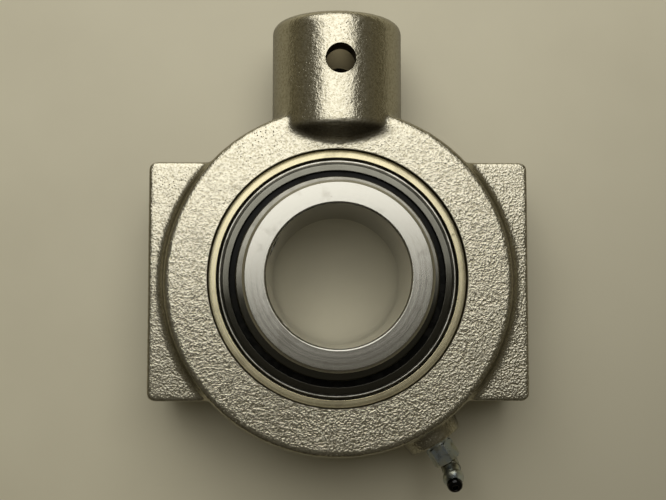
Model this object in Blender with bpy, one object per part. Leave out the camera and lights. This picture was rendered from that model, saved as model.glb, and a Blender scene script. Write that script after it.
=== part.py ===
"""Take-up bearing unit.

A cast housing slides between two guide rails, with an adjusting screw in its tubular nose,
and carries a self-aligning ball bearing insert whose inner ring is gripped to a shaft by two
set screws. A grease fitting feeds the bearing through the housing.

Metres, +Z up. The bearing's axis is Z and the nose points along +Y. The unit lies on its
back, centred on the origin, with its lowest point at Z = 0.
"""

import math

import bmesh
import bpy
from mathutils import Matrix, Vector

MM = 0.001

# Inner ring
SHAFT_DIAMETER = 42.86 * MM
INNER_RING_WALL = 7.17 * MM
LONG_SIDE = 30.2 * MM
SHORT_SIDE = 19.0 * MM
INNER_RING_CHAMFER = 0.9 * MM
BORE_CHAMFER = 0.5 * MM
INNER_GROOVE_DEPTH = 2.7 * MM

# Balls and their cage
BALL_DIAMETER = 12.7 * MM
BALL_COUNT = 9
RACE_CLEARANCE = 0.25 * MM
POCKET_CLEARANCE = 0.35 * MM
CAGE_THICKNESS = 3.4 * MM
CAGE_WEB = 0.75 * MM
CAGE_PRONG = 3.6 * MM

# Outer ring
OUTER_RING_WALL = 5.5 * MM
OUTER_GROOVE_DEPTH = 2.1 * MM
SEAL_SPACE = 4.65 * MM
OUTER_RING_CHAMFER = 1.0 * MM
SHIELD_SEAT_DEPTH = 3.4 * MM
SHIELD_SEAT_STEP = 0.9 * MM
LUBE_GROOVE_WIDTH = 3.0 * MM
LUBE_GROOVE_DEPTH = 0.8 * MM
LUBE_HOLE_DIAMETER = 2.4 * MM

# Shields, seals and slingers
SHEET = 0.8 * MM
PRESS_GAP = 0.2 * MM
SHIELD_SINK = 0.5 * MM
SHIELD_BEAD_WIDTH = 1.9 * MM
SHIELD_BEAD_HEIGHT = 0.4 * MM
SEAL_GAP = 0.3 * MM
LIP_THICKNESS = 1.1 * MM
LIP_RISE = 0.9 * MM
SLINGER_WIDTH = 3.1 * MM
SLINGER_HEIGHT = 3.0 * MM
SLINGER_RIM = 2.0 * MM
DIRT_GAP = 2.1 * MM

# Set screws
SET_SCREW_DIAMETER = 6.35 * MM
SET_SCREW_LENGTH = 6.35 * MM
SET_SCREW_SOCKET = 3.175 * MM
SET_SCREW_SOCKET_DEPTH = 2.8 * MM
SET_SCREW_CUP = 2.6 * MM
SET_SCREW_INSET = 6.0 * MM
THREAD_CLEARANCE = 0.2 * MM
SET_SCREW_ANGLES = (155, 220)

# Housing hub
SEAT_CLEARANCE = 0.3 * MM
HUB_THICKNESS = 30.0 * MM
HUB_WALL = 12.4 * MM
HUB_DRAFT = 0.6 * MM
HUB_EDGE_RADIUS = 2.0 * MM
SEAT_CHAMFER = 0.6 * MM
CASTING_SHIFT = 0.9 * MM
CASTING_SIDE_SHIFT = 0.3 * MM
LOADING_CLEARANCE = 0.8 * MM

# Wings and their guide slots
WING_REACH = 4.15 * MM
WING_LENGTH = 74.6 * MM
WING_STEP = 2.75 * MM
WING_CORNER_RADIUS = 1.9 * MM
WING_EDGE_RADIUS = 0.9 * MM
WING_BLEND = 2.5 * MM
WING_BLEND_TOP = 0.5 * MM
CORNER_FILLET = 3.0 * MM
CORNER_INSET = 1.2 * MM
SLOT_WIDTH = 15.9 * MM
SLOT_DEPTH = 7.2 * MM
SLOT_FILLET = 1.2 * MM

# Nose
NOSE_DIAMETER = 42.0 * MM
NOSE_REACH = 27.8 * MM
NOSE_EDGE_RADIUS = 3.5 * MM
NOSE_ROOT_INSET = 7.2 * MM
NOSE_ROOT_ANGLE = 36
NOSE_TIP_RADIUS = 6.8 * MM
NOSE_FILLET = 4.0 * MM
NOSE_BORE_DIAMETER = 25.4 * MM
NOSE_BORE_DEPTH = 28.0 * MM
NOSE_BORE_CHAMFER = 0.8 * MM
PIN_HOLE_DIAMETER = 9.5 * MM
PIN_HOLE_INSET = 15.6 * MM
PIN_HOLE_OFFSET = 0.9 * MM

# Grease boss and fitting
BOSS_ANGLE = -58.5
BOSS_REACH = 5.3 * MM
BOSS_DIAMETER = 18.0 * MM
BOSS_TAPER = 12
SHANK_DIAMETER = 6.0 * MM
SHANK_LENGTH = 6.0 * MM
SHANK_HOLE_SPARE = 1.0 * MM
GREASE_PASSAGE = 3.6 * MM
FITTING_COLLAR = 1.3 * MM
FITTING_HEX = 7.94 * MM
FITTING_HEX_LENGTH = 6.2 * MM
FITTING_NECK_DIAMETER = 6.0 * MM
FITTING_BEND = 65
FITTING_TURN = 15
FITTING_BEND_RADIUS = 3.6 * MM
FITTING_HEAD_DIAMETER = 6.5 * MM
FITTING_GROOVE_DIAMETER = 4.9 * MM
FITTING_NOSE_DIAMETER = 4.9 * MM
FITTING_HEAD_LENGTH = 9.4 * MM
FITTING_HEAD_STEP = 0.2 * MM
FITTING_HEAD_NECK = 0.95 * MM
FITTING_HEAD_RAMP = 1.0 * MM
FITTING_GROOVE_WIDTH = 1.0 * MM
FITTING_RIDGE_WIDTH = 1.1 * MM
FITTING_RIDGE_TAPER = 1.5 * MM
FITTING_RIDGE_DROP = 0.52 * MM
FITTING_BORE = 2.3 * MM
FITTING_BORE_MEET = 0.8 * MM
CHECK_BALL_DIAMETER = 2.4 * MM
CHECK_CHAMBER_DIAMETER = 3.1 * MM
CHECK_MOUTH_DIAMETER = 1.9 * MM
CHECK_MOUTH_WALL = 0.7 * MM
CHECK_SEAT_GAP = 0.15 * MM
SPRING_WIRE = 0.3 * MM
SPRING_TURNS = 6
SPRING_STEPS = 8

# Sizes that follow from the ones above
BALL_RADIUS = BALL_DIAMETER / 2
SHAFT_RADIUS = SHAFT_DIAMETER / 2
INNER_RADIUS = SHAFT_RADIUS + INNER_RING_WALL
GROOVE_RADIUS = BALL_RADIUS + RACE_CLEARANCE
PITCH_RADIUS = INNER_RADIUS + GROOVE_RADIUS - INNER_GROOVE_DEPTH
LAND_RADIUS = PITCH_RADIUS + GROOVE_RADIUS - OUTER_GROOVE_DEPTH
OUTER_RADIUS = LAND_RADIUS + OUTER_RING_WALL
OUTER_HALF = BALL_RADIUS + SEAL_SPACE
SHIELD_SEAT_RADIUS = LAND_RADIUS + SHIELD_SEAT_STEP
SEAT_RADIUS = OUTER_RADIUS + SEAT_CLEARANCE
HUB_HALF = HUB_THICKNESS / 2
HUB_RADIUS = SEAT_RADIUS + HUB_WALL
WING_HALF = HUB_HALF - WING_STEP
WING_SPAN_HALF = HUB_RADIUS + WING_REACH
NOSE_RADIUS = NOSE_DIAMETER / 2
NOSE_END = HUB_RADIUS + NOSE_REACH
BOSS_END = HUB_RADIUS + BOSS_REACH
CASTING_PLACE = (CASTING_SIDE_SHIFT, -CASTING_SHIFT, 0)

# Fineness of the round shapes, as straight sides to a full turn
BEARING_SIDES = 36
HUB_SIDES = 48
NOSE_SIDES = 36
BOSS_SIDES = 32
SMALL_SIDES = 16
FINE_HOLE_SIDES = 12
BALL_SIDES = 12
EDGE_STEPS = 3
RIM_STEPS = 2
FILLET_STEPS = 4
NOSE_EDGE_STEPS = 5
SEAT_STEPS = 4
GROOVE_STEPS = 6
SMOOTH_ANGLE = math.radians(32)
CUT_MARGIN = 2.0 * MM
OVERLAP = 0.06 * MM
BLEND_SINK = 0.2 * MM
ROOT_SINK = 4.0 * MM
WELD_DISTANCE = 0.004 * MM


def clear_scene():
    for old in list(bpy.data.objects):
        bpy.data.objects.remove(old, do_unlink=True)


def finish(name, colour, roughness, metallic):
    """A material for one kind of surface."""
    material = bpy.data.materials.new(name)
    material.use_nodes = True
    shader = material.node_tree.nodes["Principled BSDF"]
    shader.inputs["Base Color"].default_value = (*colour, 1.0)
    shader.inputs["Roughness"].default_value = roughness
    shader.inputs["Metallic"].default_value = metallic
    return material


def frame(name, parent=None, location=(0, 0, 0), turn=None):
    """An empty that carries other objects."""
    empty = bpy.data.objects.new(name, None)
    bpy.context.collection.objects.link(empty)
    empty.parent = parent
    empty.location = location
    if turn is not None:
        empty.rotation_euler = turn.to_euler()
    return empty


def piece(name, bm, parent, material=None, location=(0, 0, 0)):
    """An object made from a bmesh, shaded smooth up to its sharp edges."""
    bmesh.ops.recalc_face_normals(bm, faces=bm.faces)
    mesh = bpy.data.meshes.new(name)
    bm.to_mesh(mesh)
    bm.free()
    mesh.shade_smooth()
    mesh.set_sharp_from_angle(angle=SMOOTH_ANGLE)
    made = bpy.data.objects.new(name, mesh)
    bpy.context.collection.objects.link(made)
    made.parent = parent
    made.location = location
    if material is not None:
        mesh.materials.append(material)
    return made


def helper(name, bm, parent, location=(0, 0, 0)):
    """A shape that is only added to or cut from another one."""
    made = piece(name, bm, parent, location=location)
    made.hide_render = True
    made.display_type = "WIRE"
    return made


def combine(target, tool, operation):
    """Adds, cuts or intersects the target with the tool, and welds the slivers this leaves."""
    boolean = target.modifiers.new(f"{operation.lower()} {tool.name}", "BOOLEAN")
    boolean.operation = operation
    boolean.solver = "EXACT"
    boolean.object = tool
    weld = target.modifiers.new(f"weld {tool.name}", "WELD")
    weld.merge_threshold = WELD_DISTANCE


def arc(centre, radius, start, end, steps):
    """Points along an arc in a profile's plane, with both ends, angles in degrees."""
    points = []
    for i in range(steps + 1):
        angle = math.radians(start + (end - start) * i / steps)
        points.append((centre[0] + radius * math.cos(angle), centre[1] + radius * math.sin(angle)))
    return points


def mirrored(upper):
    """A profile's upper half, listed from the top down, with its mirror image below it."""
    lower = [(r, -z) for r, z in reversed(upper)]
    if upper[-1][1] == 0:
        lower = lower[1:]
    return upper + lower


def turned(profile, sides=BEARING_SIDES):
    """A body turned about Z from (radius, height) points. Ends on the axis are left open there."""
    bm = bmesh.new()
    points = [bm.verts.new((r, 0, z)) for r, z in profile]
    edges = [bm.edges.new(pair) for pair in zip(points, points[1:])]
    if profile[0][0] > 0:
        edges.append(bm.edges.new((points[-1], points[0])))
    bmesh.ops.spin(
        bm,
        geom=points + edges,
        cent=(0, 0, 0),
        axis=(0, 0, 1),
        angle=2 * math.pi,
        steps=sides,
        use_merge=True,
    )
    bmesh.ops.remove_doubles(bm, verts=bm.verts, dist=1e-6)
    return bm


def moved(bm, matrix):
    bmesh.ops.transform(bm, matrix=matrix, verts=bm.verts)
    return bm


def along(direction):
    """A rotation that takes +Z to the direction."""
    return Vector((0, 0, 1)).rotation_difference(Vector(direction)).to_matrix().to_4x4()


def radial(degrees):
    """The unit vector at an angle from +X about Z."""
    return Vector((math.cos(math.radians(degrees)), math.sin(math.radians(degrees)), 0))


def rod(radius, start, end, sides=SMALL_SIDES, end_radius=None):
    """A round bar, or a cone, between two points."""
    start = Vector(start)
    end = Vector(end)
    bm = bmesh.new()
    bmesh.ops.create_cone(
        bm,
        cap_ends=True,
        segments=sides,
        radius1=radius,
        radius2=radius if end_radius is None else end_radius,
        depth=(end - start).length,
        matrix=Matrix.Translation((start + end) / 2) @ along(end - start),
    )
    return bm


def prism(outline, bottom, top):
    """A plan outline, given as (x, y) points, raised from bottom to top."""
    bm = bmesh.new()
    face = bm.faces.new([bm.verts.new((x, y, bottom)) for x, y in outline])
    raised = bmesh.ops.extrude_face_region(bm, geom=[face])
    top_points = [v for v in raised["geom"] if isinstance(v, bmesh.types.BMVert)]
    bmesh.ops.translate(bm, verts=top_points, vec=(0, 0, top - bottom))
    return bm


def block(low, high):
    """A box between two corners."""
    bm = bmesh.new()
    bmesh.ops.create_cube(bm, size=1)
    low = Vector(low)
    high = Vector(high)
    bmesh.ops.scale(bm, vec=high - low, verts=bm.verts)
    bmesh.ops.translate(bm, vec=(low + high) / 2, verts=bm.verts)
    return bm


def rounded(bm, axis, radius, steps):
    """Rounds the box edges that run along one axis, 0 for X to 2 for Z."""
    edges = []
    for edge in bm.edges:
        line = edge.verts[1].co - edge.verts[0].co
        if abs(line[axis]) > 0.999 * line.length:
            edges.append(edge)
    bmesh.ops.bevel(
        bm, geom=edges, offset=radius, segments=steps, profile=0.5, affect="EDGES", material=-1
    )
    return bm


def build_hub(parent, material):
    """The round middle of the casting, drafted both ways from its middle plane."""
    edge = HUB_RADIUS - HUB_DRAFT - HUB_EDGE_RADIUS
    corner = arc((edge, HUB_HALF - HUB_EDGE_RADIUS), HUB_EDGE_RADIUS, 90, 0, EDGE_STEPS)
    profile = mirrored([(0, HUB_HALF), *corner, (HUB_RADIUS, 0)])
    return piece("housing", turned(profile, HUB_SIDES), parent, material, CASTING_PLACE)


def add_wings(housing, parent):
    """Flat wings that run past the hub on both sides, blended into it."""
    half_length = WING_LENGTH / 2
    bm = block(
        (-WING_SPAN_HALF, -half_length, -WING_HALF), (WING_SPAN_HALF, half_length, WING_HALF)
    )
    rounded(bm, 2, WING_CORNER_RADIUS, EDGE_STEPS)
    rims = [edge for edge in bm.edges if edge.verts[0].co.z == edge.verts[1].co.z]
    bmesh.ops.bevel(
        bm,
        geom=rims,
        offset=WING_EDGE_RADIUS,
        segments=RIM_STEPS,
        profile=0.5,
        affect="EDGES",
        material=-1,
    )
    combine(housing, helper("wings", bm, parent, CASTING_PLACE), "UNION")

    # The blend from the hub's rim down to the wing's face, kept to the wing's own length
    rim = HUB_RADIUS - HUB_DRAFT
    top = HUB_HALF - HUB_EDGE_RADIUS + WING_BLEND_TOP
    drop = top - WING_HALF
    radius = (WING_BLEND**2 + drop**2) / (2 * drop)
    centre = (rim - BLEND_SINK + WING_BLEND, WING_HALF + radius - OVERLAP)
    start = 180 + math.degrees(math.atan2(radius - drop, WING_BLEND))
    hollow = arc(centre, radius, start, 268, EDGE_STEPS)
    ring = mirrored([(0, hollow[0][1]), *hollow, (centre[0], WING_HALF - WING_EDGE_RADIUS)])
    blend = helper("wing_blend", turned(ring, HUB_SIDES), parent, CASTING_PLACE)
    inside = half_length - OVERLAP
    trim = block((-2 * HUB_RADIUS, -inside, -HUB_HALF), (2 * HUB_RADIUS, inside, HUB_HALF))
    combine(blend, helper("wing_blend_trim", trim, parent, CASTING_PLACE), "INTERSECT")
    combine(housing, blend, "UNION")

    # The rounded inside corners where a wing's end meets the hub's outline
    level = WING_HALF - CORNER_INSET
    outline_radius = HUB_RADIUS - HUB_DRAFT
    centre_y = half_length + CORNER_FILLET - OVERLAP
    centre_x = math.sqrt((outline_radius + CORNER_FILLET) ** 2 - centre_y**2)
    lean = math.degrees(math.atan2(centre_y, centre_x))
    hollow = arc((centre_x, centre_y), CORNER_FILLET, 180 + lean, 270, FILLET_STEPS)
    deep = (hollow[0][0] - ROOT_SINK, hollow[0][1] - ROOT_SINK)
    outline = [*hollow, (centre_x, half_length - ROOT_SINK), deep]
    for side_x in (-1, 1):
        for side_y in (-1, 1):
            corner = [(side_x * x, side_y * y) for x, y in outline]
            web = prism(corner, -level, level)
            name = f"wing_corner_{side_x}_{side_y}"
            combine(housing, helper(name, web, parent, CASTING_PLACE), "UNION")


def add_nose(housing, parent):
    """The tubular nose, sloped down to the hub's faces and blended into its rim."""
    root = HUB_RADIUS - CASTING_SHIFT - NOSE_ROOT_INSET
    slope = math.tan(math.radians(NOSE_ROOT_ANGLE))
    tip = root - (NOSE_RADIUS - NOSE_TIP_RADIUS) * slope
    edge = (NOSE_RADIUS - NOSE_EDGE_RADIUS, NOSE_END - NOSE_EDGE_RADIUS)
    rim = arc(edge, NOSE_EDGE_RADIUS, 0, 90, NOSE_EDGE_STEPS)
    profile = [(0, tip), (NOSE_TIP_RADIUS, tip), (NOSE_RADIUS, root), *rim, (0, NOSE_END)]
    bm = moved(turned(profile, NOSE_SIDES), along((0, 1, 0)))
    combine(housing, helper("nose", bm, parent), "UNION")

    reach = NOSE_RADIUS + NOSE_FILLET
    side = math.sqrt((HUB_RADIUS - HUB_DRAFT) ** 2 - reach**2) - CASTING_SHIFT
    hollow = arc((reach - OVERLAP, side + NOSE_FILLET), NOSE_FILLET, 265, 180, FILLET_STEPS)
    inner = NOSE_RADIUS - ROOT_SINK / 2
    base = side - ROOT_SINK
    ring = [(inner, base), (reach, base), *hollow, (inner, hollow[-1][1])]
    bm = moved(turned(ring, NOSE_SIDES), along((0, 1, 0)))
    blend = helper("nose_blend", bm, parent)
    level = HUB_HALF - HUB_EDGE_RADIUS
    trim = block((-2 * reach, 0, -level), (2 * reach, 2 * NOSE_END, level))
    combine(blend, helper("nose_blend_trim", trim, parent), "INTERSECT")
    combine(housing, blend, "UNION")


def add_grease_boss(housing, parent):
    out = radial(BOSS_ANGLE)
    start = SEAT_RADIUS + HUB_WALL / 2
    spread = (BOSS_END - start) * math.tan(math.radians(BOSS_TAPER))
    root = BOSS_DIAMETER / 2 + spread
    bm = rod(root, out * start, out * BOSS_END, BOSS_SIDES, BOSS_DIAMETER / 2)
    combine(housing, helper("grease_boss", bm, parent), "UNION")


def cut_seat(housing, parent):
    """The spherical seat, and the two slots at the back that let the insert in edgewise."""
    edge_height = HUB_HALF - SEAT_CHAMFER
    edge_angle = math.degrees(math.asin(edge_height / SEAT_RADIUS))
    seat = arc((0, 0), SEAT_RADIUS, edge_angle, 0, SEAT_STEPS)
    mouth = seat[0][0] + SEAT_CHAMFER + CUT_MARGIN
    profile = mirrored([(0, HUB_HALF + CUT_MARGIN), (mouth, HUB_HALF + CUT_MARGIN), *seat])
    combine(housing, helper("seat_cut", turned(profile, HUB_SIDES), parent), "DIFFERENCE")

    half_width = OUTER_HALF + LOADING_CLEARANCE / 2
    slot_radius = SEAT_RADIUS + LOADING_CLEARANCE / 2
    half_angle = math.degrees(math.asin(half_width / slot_radius))
    right = arc((0, 0), slot_radius, -half_angle, half_angle, GROOVE_STEPS)
    left = arc((0, 0), slot_radius, 180 - half_angle, 180 + half_angle, GROOVE_STEPS)
    slots = prism(right + left, -HUB_HALF - CUT_MARGIN, LOADING_CLEARANCE / 2)
    combine(housing, helper("loading_slots", slots, parent), "DIFFERENCE")


def cut_guide_slots(housing, parent):
    floor = WING_SPAN_HALF - SLOT_DEPTH
    half = SLOT_WIDTH / 2
    for name, side in (("slot_left", -1), ("slot_right", 1)):
        low = (min(side * floor, side * 2 * floor), -WING_LENGTH, -half)
        high = (max(side * floor, side * 2 * floor), WING_LENGTH, half)
        bm = rounded(block(low, high), 1, SLOT_FILLET, RIM_STEPS)
        combine(housing, helper(name, bm, parent, CASTING_PLACE), "DIFFERENCE")


def cut_nose(housing, parent):
    """The adjusting screw's bore in the nose, and the pin hole across it."""
    bore = NOSE_BORE_DIAMETER / 2
    floor = NOSE_END - NOSE_BORE_DEPTH
    mouth = bore + NOSE_BORE_CHAMFER
    profile = [
        (0, floor),
        (bore, floor),
        (bore, NOSE_END - NOSE_BORE_CHAMFER),
        (mouth, NOSE_END),
        (mouth, NOSE_END + CUT_MARGIN),
        (0, NOSE_END + CUT_MARGIN),
    ]
    bm = moved(turned(profile, NOSE_SIDES), along((0, 1, 0)))
    combine(housing, helper("nose_bore", bm, parent), "DIFFERENCE")

    place = Vector((PIN_HOLE_OFFSET, NOSE_END - PIN_HOLE_INSET, 0))
    reach = Vector((0, 0, NOSE_RADIUS + CUT_MARGIN))
    bm = rod(PIN_HOLE_DIAMETER / 2, place - reach, place + reach)
    combine(housing, helper("pin_hole", bm, parent), "DIFFERENCE")


def cut_grease_passage(housing, parent):
    """The tapped hole for the fitting, and the narrower passage to the seat."""
    out = radial(BOSS_ANGLE)
    hole = SHANK_DIAMETER / 2 + THREAD_CLEARANCE
    floor = BOSS_END - SHANK_LENGTH - SHANK_HOLE_SPARE
    profile = [
        (0, SEAT_RADIUS - CUT_MARGIN),
        (GREASE_PASSAGE / 2, SEAT_RADIUS - CUT_MARGIN),
        (GREASE_PASSAGE / 2, floor),
        (hole, floor),
        (hole, BOSS_END + CUT_MARGIN),
        (0, BOSS_END + CUT_MARGIN),
    ]
    bm = moved(turned(profile, SMALL_SIDES), along(out))
    combine(housing, helper("grease_passage", bm, parent), "DIFFERENCE")


def build_housing(parent, material):
    housing = build_hub(parent, material)
    add_wings(housing, parent)
    add_nose(housing, parent)
    add_grease_boss(housing, parent)
    cut_seat(housing, parent)
    cut_guide_slots(housing, parent)
    cut_nose(housing, parent)
    cut_grease_passage(housing, parent)
    return housing


def ball_groove(radius, inner):
    """The groove's arc, top to bottom, between its two ends on a land of this radius."""
    lean = math.degrees(math.acos((radius - PITCH_RADIUS) / GROOVE_RADIUS))
    if inner:
        return arc((PITCH_RADIUS, 0), GROOVE_RADIUS, lean, 360 - lean, GROOVE_STEPS)
    return arc((PITCH_RADIUS, 0), GROOVE_RADIUS, lean, -lean, GROOVE_STEPS)


def build_outer_ring(parent, material):
    """A ring with a spherical outside, a ball groove, and a grease groove with two holes."""
    sphere_height = OUTER_HALF - OUTER_RING_CHAMFER
    groove_height = LUBE_GROOVE_WIDTH / 2
    top = math.degrees(math.asin(sphere_height / OUTER_RADIUS))
    low = math.degrees(math.asin(groove_height / OUTER_RADIUS))
    sphere = arc((0, 0), OUTER_RADIUS, top, low, 2)
    flat_edge = sphere[0][0] - OUTER_RING_CHAMFER
    groove_floor = OUTER_RADIUS - LUBE_GROOVE_DEPTH
    outside = mirrored([(flat_edge, OUTER_HALF), *sphere, (groove_floor, groove_height)])
    seat_height = OUTER_HALF - SHIELD_SEAT_DEPTH
    top_step = [(SHIELD_SEAT_RADIUS, OUTER_HALF), (SHIELD_SEAT_RADIUS, seat_height)]
    top_step.append((LAND_RADIUS, seat_height))
    bottom_step = [(r, -z) for r, z in reversed(top_step)]
    inside = top_step + ball_groove(LAND_RADIUS, False) + bottom_step
    ring = piece("outer_ring", turned(outside + inside[::-1]), parent, material)
    for i, angle in enumerate((BOSS_ANGLE, BOSS_ANGLE + 180)):
        out = radial(angle)
        end = out * (OUTER_RADIUS + CUT_MARGIN)
        hole = rod(LUBE_HOLE_DIAMETER / 2, out * PITCH_RADIUS, end, FINE_HOLE_SIDES)
        combine(ring, helper(f"lube_hole_{i + 1}", hole, parent), "DIFFERENCE")
    return ring


def build_inner_ring(parent, material):
    """A wide ring with a ball groove, and two tapped holes in its long side."""
    outer_edge = INNER_RADIUS - INNER_RING_CHAMFER
    bore_edge = SHAFT_RADIUS + BORE_CHAMFER
    profile = [
        (bore_edge, LONG_SIDE),
        (outer_edge, LONG_SIDE),
        (INNER_RADIUS, LONG_SIDE - INNER_RING_CHAMFER),
        *ball_groove(INNER_RADIUS, True),
        (INNER_RADIUS, INNER_RING_CHAMFER - SHORT_SIDE),
        (outer_edge, -SHORT_SIDE),
        (bore_edge, -SHORT_SIDE),
        (SHAFT_RADIUS, BORE_CHAMFER - SHORT_SIDE),
        (SHAFT_RADIUS, LONG_SIDE - BORE_CHAMFER),
    ]
    ring = piece("inner_ring", turned(profile), parent, material)
    level = Vector((0, 0, LONG_SIDE - SET_SCREW_INSET))
    for i, angle in enumerate(SET_SCREW_ANGLES):
        out = radial(angle)
        start = level + out * (SHAFT_RADIUS - CUT_MARGIN)
        end = level + out * (INNER_RADIUS + CUT_MARGIN)
        hole = rod(SET_SCREW_DIAMETER / 2, start, end)
        combine(ring, helper(f"set_screw_hole_{i + 1}", hole, parent), "DIFFERENCE")
    return ring


def shield_profile():
    """A shield pressed into the outer ring, with a raised bead round its opening."""
    top = OUTER_HALF - SHIELD_SINK
    web = top - SHIELD_BEAD_HEIGHT
    foot = OUTER_HALF - SHIELD_SEAT_DEPTH + SEAL_GAP
    outside = SHIELD_SEAT_RADIUS - PRESS_GAP
    opening = INNER_RADIUS + SLINGER_WIDTH + PRESS_GAP + DIRT_GAP
    bead = opening + SHIELD_BEAD_WIDTH
    return [
        (opening, top - SHEET),
        (opening, top),
        (bead, top),
        (bead + SHIELD_BEAD_HEIGHT, web),
        (outside, web),
        (outside, foot),
        (outside - SHEET, foot),
        (outside - SHEET, web - SHEET),
        (bead, web - SHEET),
    ]


def lip_profile():
    """A rubber seal behind the shield, whose edge leans out along the inner ring."""
    top = OUTER_HALF - SHIELD_SINK - SHIELD_BEAD_HEIGHT - SHEET - SEAL_GAP
    outside = SHIELD_SEAT_RADIUS - PRESS_GAP - SHEET - SEAL_GAP
    tip = INNER_RADIUS + SEAL_GAP
    lean = tip + LIP_THICKNESS * 2
    return [
        (tip, top + LIP_RISE),
        (lean, top),
        (outside, top),
        (outside, top - LIP_THICKNESS),
        (lean - LIP_THICKNESS / 2, top - LIP_THICKNESS),
        (tip, top + LIP_RISE - LIP_THICKNESS),
    ]


def slinger_profile():
    """A pressed steel channel on the inner ring that throws dirt off the seal."""
    seal_top = OUTER_HALF - SHIELD_SINK - SHIELD_BEAD_HEIGHT - SHEET - SEAL_GAP + LIP_RISE
    foot = seal_top + SEAL_GAP
    top = foot + SLINGER_HEIGHT
    inside = INNER_RADIUS + PRESS_GAP
    outside = inside + SLINGER_WIDTH
    return [
        (inside, foot),
        (inside, top),
        (outside - SHEET / 2, top),
        (outside, top - SHEET / 2),
        (outside, top - SLINGER_RIM),
        (outside - SHEET, top - SLINGER_RIM),
        (outside - SHEET, top - SHEET),
        (inside + SHEET, top - SHEET),
        (inside + SHEET, foot),
    ]


def build_pair(name, profile, parent, material):
    """The same turned piece at the front, and facing the other way at the back."""
    back = [(r, -z) for r, z in profile]
    piece(f"{name}_front", turned(profile), parent, material)
    piece(f"{name}_rear", turned(back), parent, material)


def build_cage(parent, material):
    """A snap cage: a ring with a round pocket for each ball, open towards the front."""
    pocket = BALL_RADIUS + POCKET_CLEARANCE
    bottom = -pocket - CAGE_WEB
    low = PITCH_RADIUS - CAGE_THICKNESS / 2
    high = PITCH_RADIUS + CAGE_THICKNESS / 2
    profile = [(low, bottom), (high, bottom), (high, CAGE_PRONG), (low, CAGE_PRONG)]
    cage = piece("ball_cage", turned(profile, BALL_COUNT * 4), parent, material)
    bm = bmesh.new()
    for i in range(BALL_COUNT):
        out = radial(i * 360 / BALL_COUNT)
        place = Matrix.Translation(out * PITCH_RADIUS) @ along(out)
        bmesh.ops.create_uvsphere(bm, u_segments=16, v_segments=8, radius=pocket, matrix=place)
    combine(cage, helper("ball_pockets", bm, parent), "DIFFERENCE")
    return cage


def build_balls(parent, material):
    bm = bmesh.new()
    bmesh.ops.create_uvsphere(bm, u_segments=BALL_SIDES, v_segments=7, radius=BALL_RADIUS)
    first = piece("ball_1", bm, parent, material, radial(0) * PITCH_RADIUS)
    for i in range(1, BALL_COUNT):
        ball = bpy.data.objects.new(f"ball_{i + 1}", first.data)
        bpy.context.collection.objects.link(ball)
        ball.parent = parent
        ball.location = radial(i * 360 / BALL_COUNT) * PITCH_RADIUS


def build_set_screws(parent, material):
    """Socket set screws with a cup point, just inside the bore and the ring's outside."""
    radius = SET_SCREW_DIAMETER / 2 - THREAD_CLEARANCE
    half = SET_SCREW_LENGTH / 2
    cup = SET_SCREW_CUP / 2
    chamfer = radius - cup - SHEET / 2
    profile = [
        (0, -half + cup / 2),
        (cup, -half),
        (radius - chamfer, -half),
        (radius, -half + chamfer),
        (radius, half - SHEET / 2),
        (radius - SHEET / 2, half),
        (0, half),
    ]
    middle = SHAFT_RADIUS + INNER_RING_WALL / 2
    for i, angle in enumerate(SET_SCREW_ANGLES):
        out = radial(angle)
        place = out * middle + Vector((0, 0, LONG_SIDE - SET_SCREW_INSET))
        carrier = frame(f"set_screw_axis_{i + 1}", parent, place, along(out))
        screw = piece(f"set_screw_{i + 1}", turned(profile, SMALL_SIDES), carrier, material)
        depth = Vector((0, 0, half - SET_SCREW_SOCKET_DEPTH))
        mouth = Vector((0, 0, half + CUT_MARGIN))
        socket = rod(SET_SCREW_SOCKET / math.sqrt(3), depth, mouth, 6)
        combine(screw, helper(f"set_screw_socket_{i + 1}", socket, carrier), "DIFFERENCE")


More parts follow.
